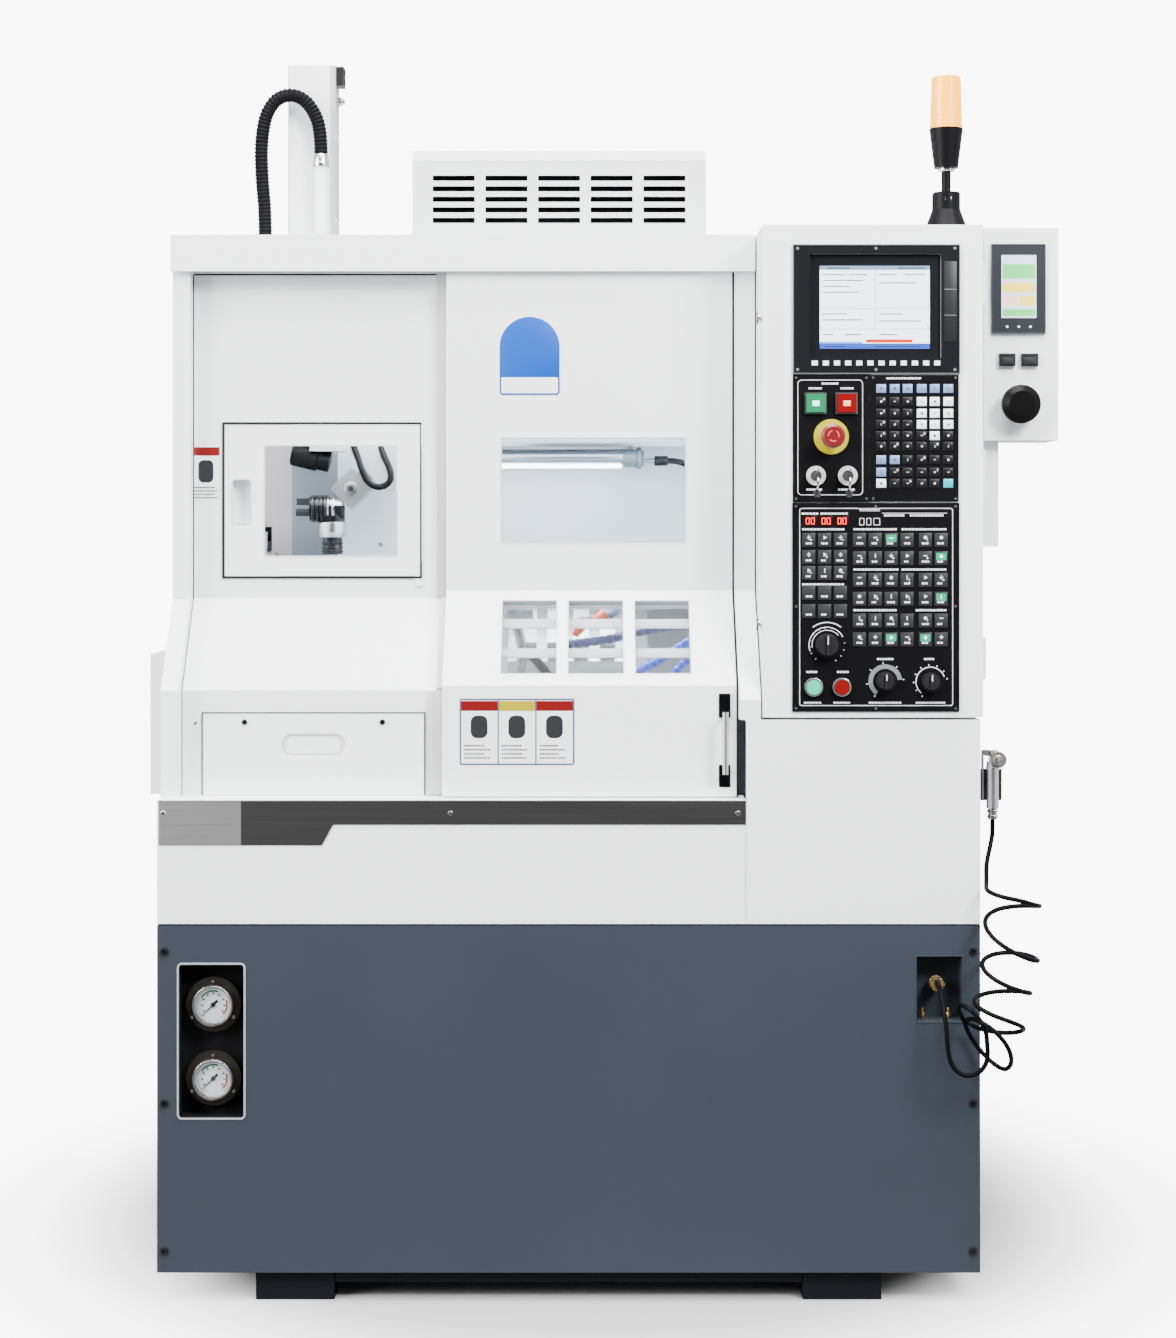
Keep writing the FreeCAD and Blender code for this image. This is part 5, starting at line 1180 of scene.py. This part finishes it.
marks("feed_scale_marks", ink_white, "control_lid", (FEED_X, -3.1, FEED_Z), 31, 6, -145, 85, 3, 1.4)
marks("speed_scale_marks", ink_white, "control_lid", (SPEED_X, -3.1, SPEED_Z), 28.5, 9, -150, 80, 2.6, 1.6)

# ---------------------------------------------------------------- loader console
# A folded white box beside the control box carries a touch screen, two covered ports, and a black palm
# button. The screen shows plain fields of colour.
paint(finish("console_coat", (0.72, 0.735, 0.745), 0.42, grain_scale=700, grain_depth=0.05,
             Specular_IOR_Level=0.3, patches=[((0.006, 0.008, 0.012), at(725.5, 30, 1650.5),
                                               at(819.5, 45.5, 1805.5)),
                      ((0.005, 0.005, 0.006), at(738, 30, 1594), at(768, 45.5, 1618)),
                      ((0.005, 0.005, 0.006), at(776, 30, 1594), at(807, 45.5, 1618))]), "loader_console")
paint(finish("palm_black", (0.002, 0.002, 0.0022), 0.4, grain_depth=0.02, Specular_IOR_Level=0.06),
      "palm_button")
field_green = (0.1, 0.5, 0.13)
field_yellow = (0.7, 0.6, 0.06)
mesh = bmesh.new()
slab(mesh, rounded(743, 803, 1678, 1786, 1), 40.6, 41)
touch_light = finish("touch_light", (0.5, 0.6, 0.65), 0.15, shade=0.0, grain_depth=0.0, glow=0.3, patches=[
    (field_green, at(745, 30, 1745), at(801, 45, 1770)), (field_yellow, at(745, 30, 1722), at(801, 45, 1738)),
    ((0.55, 0.6, 0.85), at(745, 30, 1774), at(801, 45, 1784)),
    ((0.8, 0.5, 0.4), at(745, 30, 1699), at(770, 45, 1716)),
    (field_yellow, at(774, 30, 1699), at(801, 45, 1716)),
    (field_green, at(745, 30, 1681), at(801, 45, 1693))])
made(mesh, "touch_screen", touch_light, "machine", 0)
mesh = bmesh.new()
for x in (753, 773, 793):
    rod(mesh, "y", x, 40.5, 1663, 2.2, 0.6, sides=16)
made(mesh, "touch_lamps", finish("lamp_pale_green", (0.3, 0.8, 0.5), 0.3, grain_depth=0, glow=0.6),
     "machine", 0)
build("touch_panel_rim", finish("rim_blue_grey", (0.015, 0.02, 0.028), 0.35, grain_depth=0.02), "machine",
      0.2, (trim, 725.8, 819.2, 1650.8, 1805.2, 1.6, 3, 40.3, 41))
mesh = bmesh.new()
for x0, x1 in ((740, 766), (778, 805)):
    slab(mesh, rounded(x0 + 2, x1 - 2, 1597, 1611, 2), 36.4, 38)
    block(mesh, x0 + 4, x1 - 4, 36.8, 38, 1611.5, 1616)
made(mesh, "port_covers", rubber, "machine", 0.6)

# ---------------------------------------------------------------- signal lamp
# An amber lamp on a tilting knuckle stands on the control box. The base and cup are black plastic,
# with a bright clamp screw and a bright collar under the cup. The lens has fine ribs and is lit.
paint(finish("lamp_plastic", (0.003, 0.003, 0.0035), 0.4, grain_depth=0.03, Specular_IOR_Level=0.07),
      "lamp_base", "lamp_housing")
LAMP_X, LAMP_Y = 654, 80
amber = finish("amber_lens", (1.0, 0.4, 0.002), 0.2, shade=0.35, shade_scale=26, stretch=(1, 1, 0.35),
               grain_depth=0.0, glow=0.55)
paint(amber, "lamp_lens")
mesh = bmesh.new()
for k in range(9):
    inner, outer = 26.6 - 0.3 * k, 27.9 - 0.3 * k
    spun(mesh, "z", LAMP_X, LAMP_Y, 2014 + 9 * k, [(inner, 0), (outer, 0.8), (outer, 1.6), (inner, 2.4)], 40)
made(mesh, "lens_ribs", amber, "lamp", 0)
build("lens_cap", amber, "lamp", 0.8, (rod, "z", LAMP_X, LAMP_Y, 2097, 25, 2.5, 22))
build("lamp_collar", bright_steel, "lamp", 0.3,
      (spun, "z", LAMP_X, LAMP_Y, 1935, [(8, 0), (13, 0), (14, 2), (14, 6), (8, 7)], 32))
mesh = bmesh.new()
rod(mesh, "y", LAMP_X, 56, 1885, 6.5, 3, sides=6)
made(mesh, "lamp_clamp_screw", bright_steel, "machine", 0.4)
screws("lamp_base_screws", bright_steel, "machine", [(628, 58, 1835)], 3, 1.5)

# ---------------------------------------------------------------- loader column
# A white square column slides in a collar on the roof. A plate with two round plugs is screwed to its right
# side, and a white conduit with a bright gland takes the loom.
paint(finish("column_coat", (0.74, 0.75, 0.775), 0.4, shade=0.03, grain_scale=700, grain_depth=0.04,
             Specular_IOR_Level=0.3, patches=[((0.35, 0.355, 0.36), at(-452.5, 440, 1866),
                                               at(-444.6, 560, 2194)),
                                              ((0.008, 0.008, 0.009), at(-444.6, 440, 2150),
                                               at(-425, 560, 2194)),
                                              ((0.3, 0.31, 0.32), at(-500, 440, 1380), at(-330, 520, 1500))]),
      "loader_column")
blocks("column_edge_lines", ink_grey, "loader",
       [(x, x + 1.2, 449.8, 450, 1866, 2192) for x in (-533.4, -454.8)], 0)
mesh = bmesh.new()
for z in (2165, 2183):
    spun(mesh, "x", -430, 477, z, [(8, -12), (8, 0), (5, 1.5), (0.5, 1.5)], 32)
made(mesh, "column_plugs", rubber, "loader", 0)
build("column_glands", bright_steel, "loader", 0.3,
      (spun, "z", -470, 432, 1996, [(13, 0), (16, 1), (16, 9), (15, 10), (15, 22), (13, 25)], 32),
      (spun, "x", -445, 477, 2128, [(3, 0), (9, 0), (9, 9), (6, 10), (6, 15), (0.5, 15)], 6))
screws("column_plate_screws", bright_steel, "loader",
       [(-445, y, z) for y in (462, 508) for z in (1900, 2060)], 3, 1.6, TO_RIGHT)

# ---------------------------------------------------------------- loader loom
# A braided black loom with cables inside goes up from the roof's gland and over into the column's conduit.
# It is a tube with raised rings on the route's smooth line.
LOOM_ROUTE = [(-574, 425, 1861), (-574, 425, 1912), (-580, 425, 1972), (-582, 425, 2040), (-573, 425, 2098),
              (-547, 426, 2131), (-510, 427, 2132), (-483, 430, 2104), (-470, 432, 2064), (-470, 432, 2021)]
ribbed, into, out = new_tree("ribbed_hose", ("Route", "Geometry"), ("Radius", "Float", 0.01),
                             ("Rib Height", "Float", 0.001), ("Rib Pitch", "Float", 0.006),
                             ("Step", "Float", 0.001), ("Finish", "Material"))
fine = step(ribbed, "GeometryNodeResampleCurve", {"mode": "LENGTH"}, Curve=(into, "Route"),
            Length=(into, "Step"))
along = step(ribbed, "GeometryNodeSplineParameter")
phase = maths(ribbed, "DIVIDE", (along, "Length"), (into, "Rib Pitch"))
angle = maths(ribbed, "MULTIPLY", (phase, 0), 2 * math.pi)
wave = maths(ribbed, "SINE", (angle, 0))
thick = maths(ribbed, "MULTIPLY_ADD", (wave, 0), (into, "Rib Height"), (into, "Radius"))
ring = step(ribbed, "GeometryNodeCurvePrimitiveCircle", Resolution=20, Radius=1)
skin = step(ribbed, "GeometryNodeCurveToMesh", Curve=(fine, "Curve"), Profile_Curve=(ring, "Curve"),
            Fill_Caps=True, Scale=(thick, 0))
coated = step(ribbed, "GeometryNodeSetMaterial", Geometry=(skin, "Mesh"), Material=(into, "Finish"))
plug(ribbed, out, Mesh=(coated, "Geometry"))


def line_of(route):
    """The points down a route's own line, for what follows it."""
    data = bpy.data.meshes.new_from_object(route.evaluated_get(bpy.context.evaluated_depsgraph_get()))
    points = [v.co.copy() for v in data.vertices]
    bpy.data.meshes.remove(data)
    return points


loom_route = smooth_route("loader_loom_sleeve", [at(*p) for p in LOOM_ROUTE])
loom_line = line_of(loom_route)
loom_coat = finish("braided_sleeve", (0.004, 0.004, 0.0045), 0.5, grain_scale=1500, grain_depth=0.2,
                   Specular_IOR_Level=0.03)
loom = run_nodes(loom_route, ribbed, Radius=12.6 * MM, Rib_Height=0.9 * MM, Rib_Pitch=7 * MM, Step=1.2 * MM,
                 Finish=loom_coat)
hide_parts("loader_loom")
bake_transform(loom)

# ---------------------------------------------------------------- air hose
# A black polyurethane hose leaves the brass fitting, lies in a few loose loops before the corner,
# and goes up in stretched turns beside the wall to the air gun on its holster.
HOSE_END = [(628, 12, 540), (628, -10, 540), (628, -28, 534), (629, -43, 521), (631, -54, 503),
            (633, -61, 481), (634, -65, 458), (636, -67, 437), (640, -68, 421), (649, -69, 409),
            (662, -70, 402), (676, -70, 402), (689, -70, 409), (698, -71, 422), (701, -72, 438),
            (699, -74, 455), (697, -82, 473), (690, -88, 491), (679, -88, 507), (667, -80, 517),
            (658, -66, 520), (655, -49, 513), (660, -35, 500)]
HOSE_TOP = [(706, -26, 707), (708, -12, 709), (710, -1, 714), (712, 10, 722), (714, 24, 737),
            (719, 38, 752), (725, 50, 768), (730, 58, 785), (731, 60, 799), (731, 60, 815)]
# Each turn, from the lowest up: its middle, its reach to the right and down, and its reach to the back.
TURNS = [((701, -62, 458), (31, 0, -48), (-16, 47, -9)), ((716, -62, 481), (45, 0, -5), (-4, 44, -8)),
         ((731, -62, 549), (42, 0, -10), (0, 43, 4)), ((743, -52, 599), (45, 0, -7), (0, 44, 13)),
         ((751, -22, 684), (46, 0, -6), (0, 44, 6))]
POINTS_A_TURN = 16


def coil_points():
    """The hose's loose lower loops and its stretched upper turns, wound the same way round."""
    spots = []
    for k in range(-POINTS_A_TURN * 3 // 8, POINTS_A_TURN * (len(TURNS) - 1) + POINTS_A_TURN * 7 // 16 + 1):
        share = min(max(k / POINTS_A_TURN, 0), len(TURNS) - 1.0001)
        here, after = TURNS[int(share)], TURNS[int(share) + 1]
        part = share - int(share)
        middle, right, back = (Vector(a).lerp(Vector(b), part) for a, b in zip(here, after))
        turn = 2 * math.pi * k / POINTS_A_TURN
        climb = min(4.5 * max(k - POINTS_A_TURN * (len(TURNS) - 1), 0), 17)
        spots.append(middle + right * math.cos(turn) - back * math.sin(turn) + Vector((0, 0, climb)))
    return spots


hose_points = [Vector(p) for p in HOSE_END] + coil_points() + [Vector(p) for p in HOSE_TOP]
hose = smooth_route("coiled_air_hose", [at(*p) for p in hose_points], 4 * MM)
hose_line = line_of(smooth_route("hose_line", [at(*p) for p in hose_points]))
bpy.data.objects.remove(bpy.data.objects["hose_line"])
hose.data.materials.append(finish("black_hose", (0.003, 0.003, 0.0035), 0.3, grain_depth=0.01,
                                  Specular_IOR_Level=0.02))
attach(hose, "machine")
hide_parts("air_hose", "air_hose_coil")

# ---------------------------------------------------------------- air gun
# A bright cast blow gun with a ball-shaped head hangs in a dark sheet holster on the right side.
# Brass trim closes the head, and steel nuts hold the hose.
paint(finish("gun_casting", (0.5, 0.5, 0.53), 0.25, shade=0.15, shade_scale=60, grain_depth=0.02,
             Metallic=0.9, patches=[((0.25, 0.23, 0.22), at(715, 45, 814), at(745, 75, 834))]), "air_gun")
GUN_X, GUN_Y = 731, 60
BALL_X, BALL_Z = 739, 918
paint(finish("lever_steel", (0.3, 0.3, 0.31), 0.3, shade=0.1, shade_scale=60, Metallic=0.9), "gun_trigger")
paint(finish("holster_coat", (0.018, 0.016, 0.013), 0.45, grain_depth=0.05, Specular_IOR_Level=0.3),
      "gun_holster")
mesh = bmesh.new()
bmesh.ops.create_uvsphere(mesh, u_segments=40, v_segments=24, radius=14.4 * MM,
                          matrix=Matrix.Translation(at(BALL_X, 58, BALL_Z)))
spun(mesh, "z", GUN_X, GUN_Y, 899, [(10.5, 0), (11.6, 1), (11.6, 5), (10.5, 7)], 40)
made(mesh, "gun_head_ball", bright_steel, "machine", 0)
build("gun_brass_trim", brass, "machine", 0.2,
      (spun, "y", BALL_X, 43.4, BALL_Z, [(5, 0), (7, 0), (7.6, 1), (7, 2.4)], 40),
      (spun, "z", 733, 60, 928, [(3, 0), (8, 0), (8, 4), (3, 5)], 32))
mesh = bmesh.new()
for z in (817, 826):
    spun(mesh, "z", GUN_X, GUN_Y, z, [(7, 0), (9.5, 0.8), (9.5, 5), (7, 6)], 6)
made(mesh, "gun_hose_nuts", bright_steel, "machine", 0.3)
blocks("holster_strip", rubber, "machine", [(700, 702.5, 56, 74, 788, 846)], 0.5)
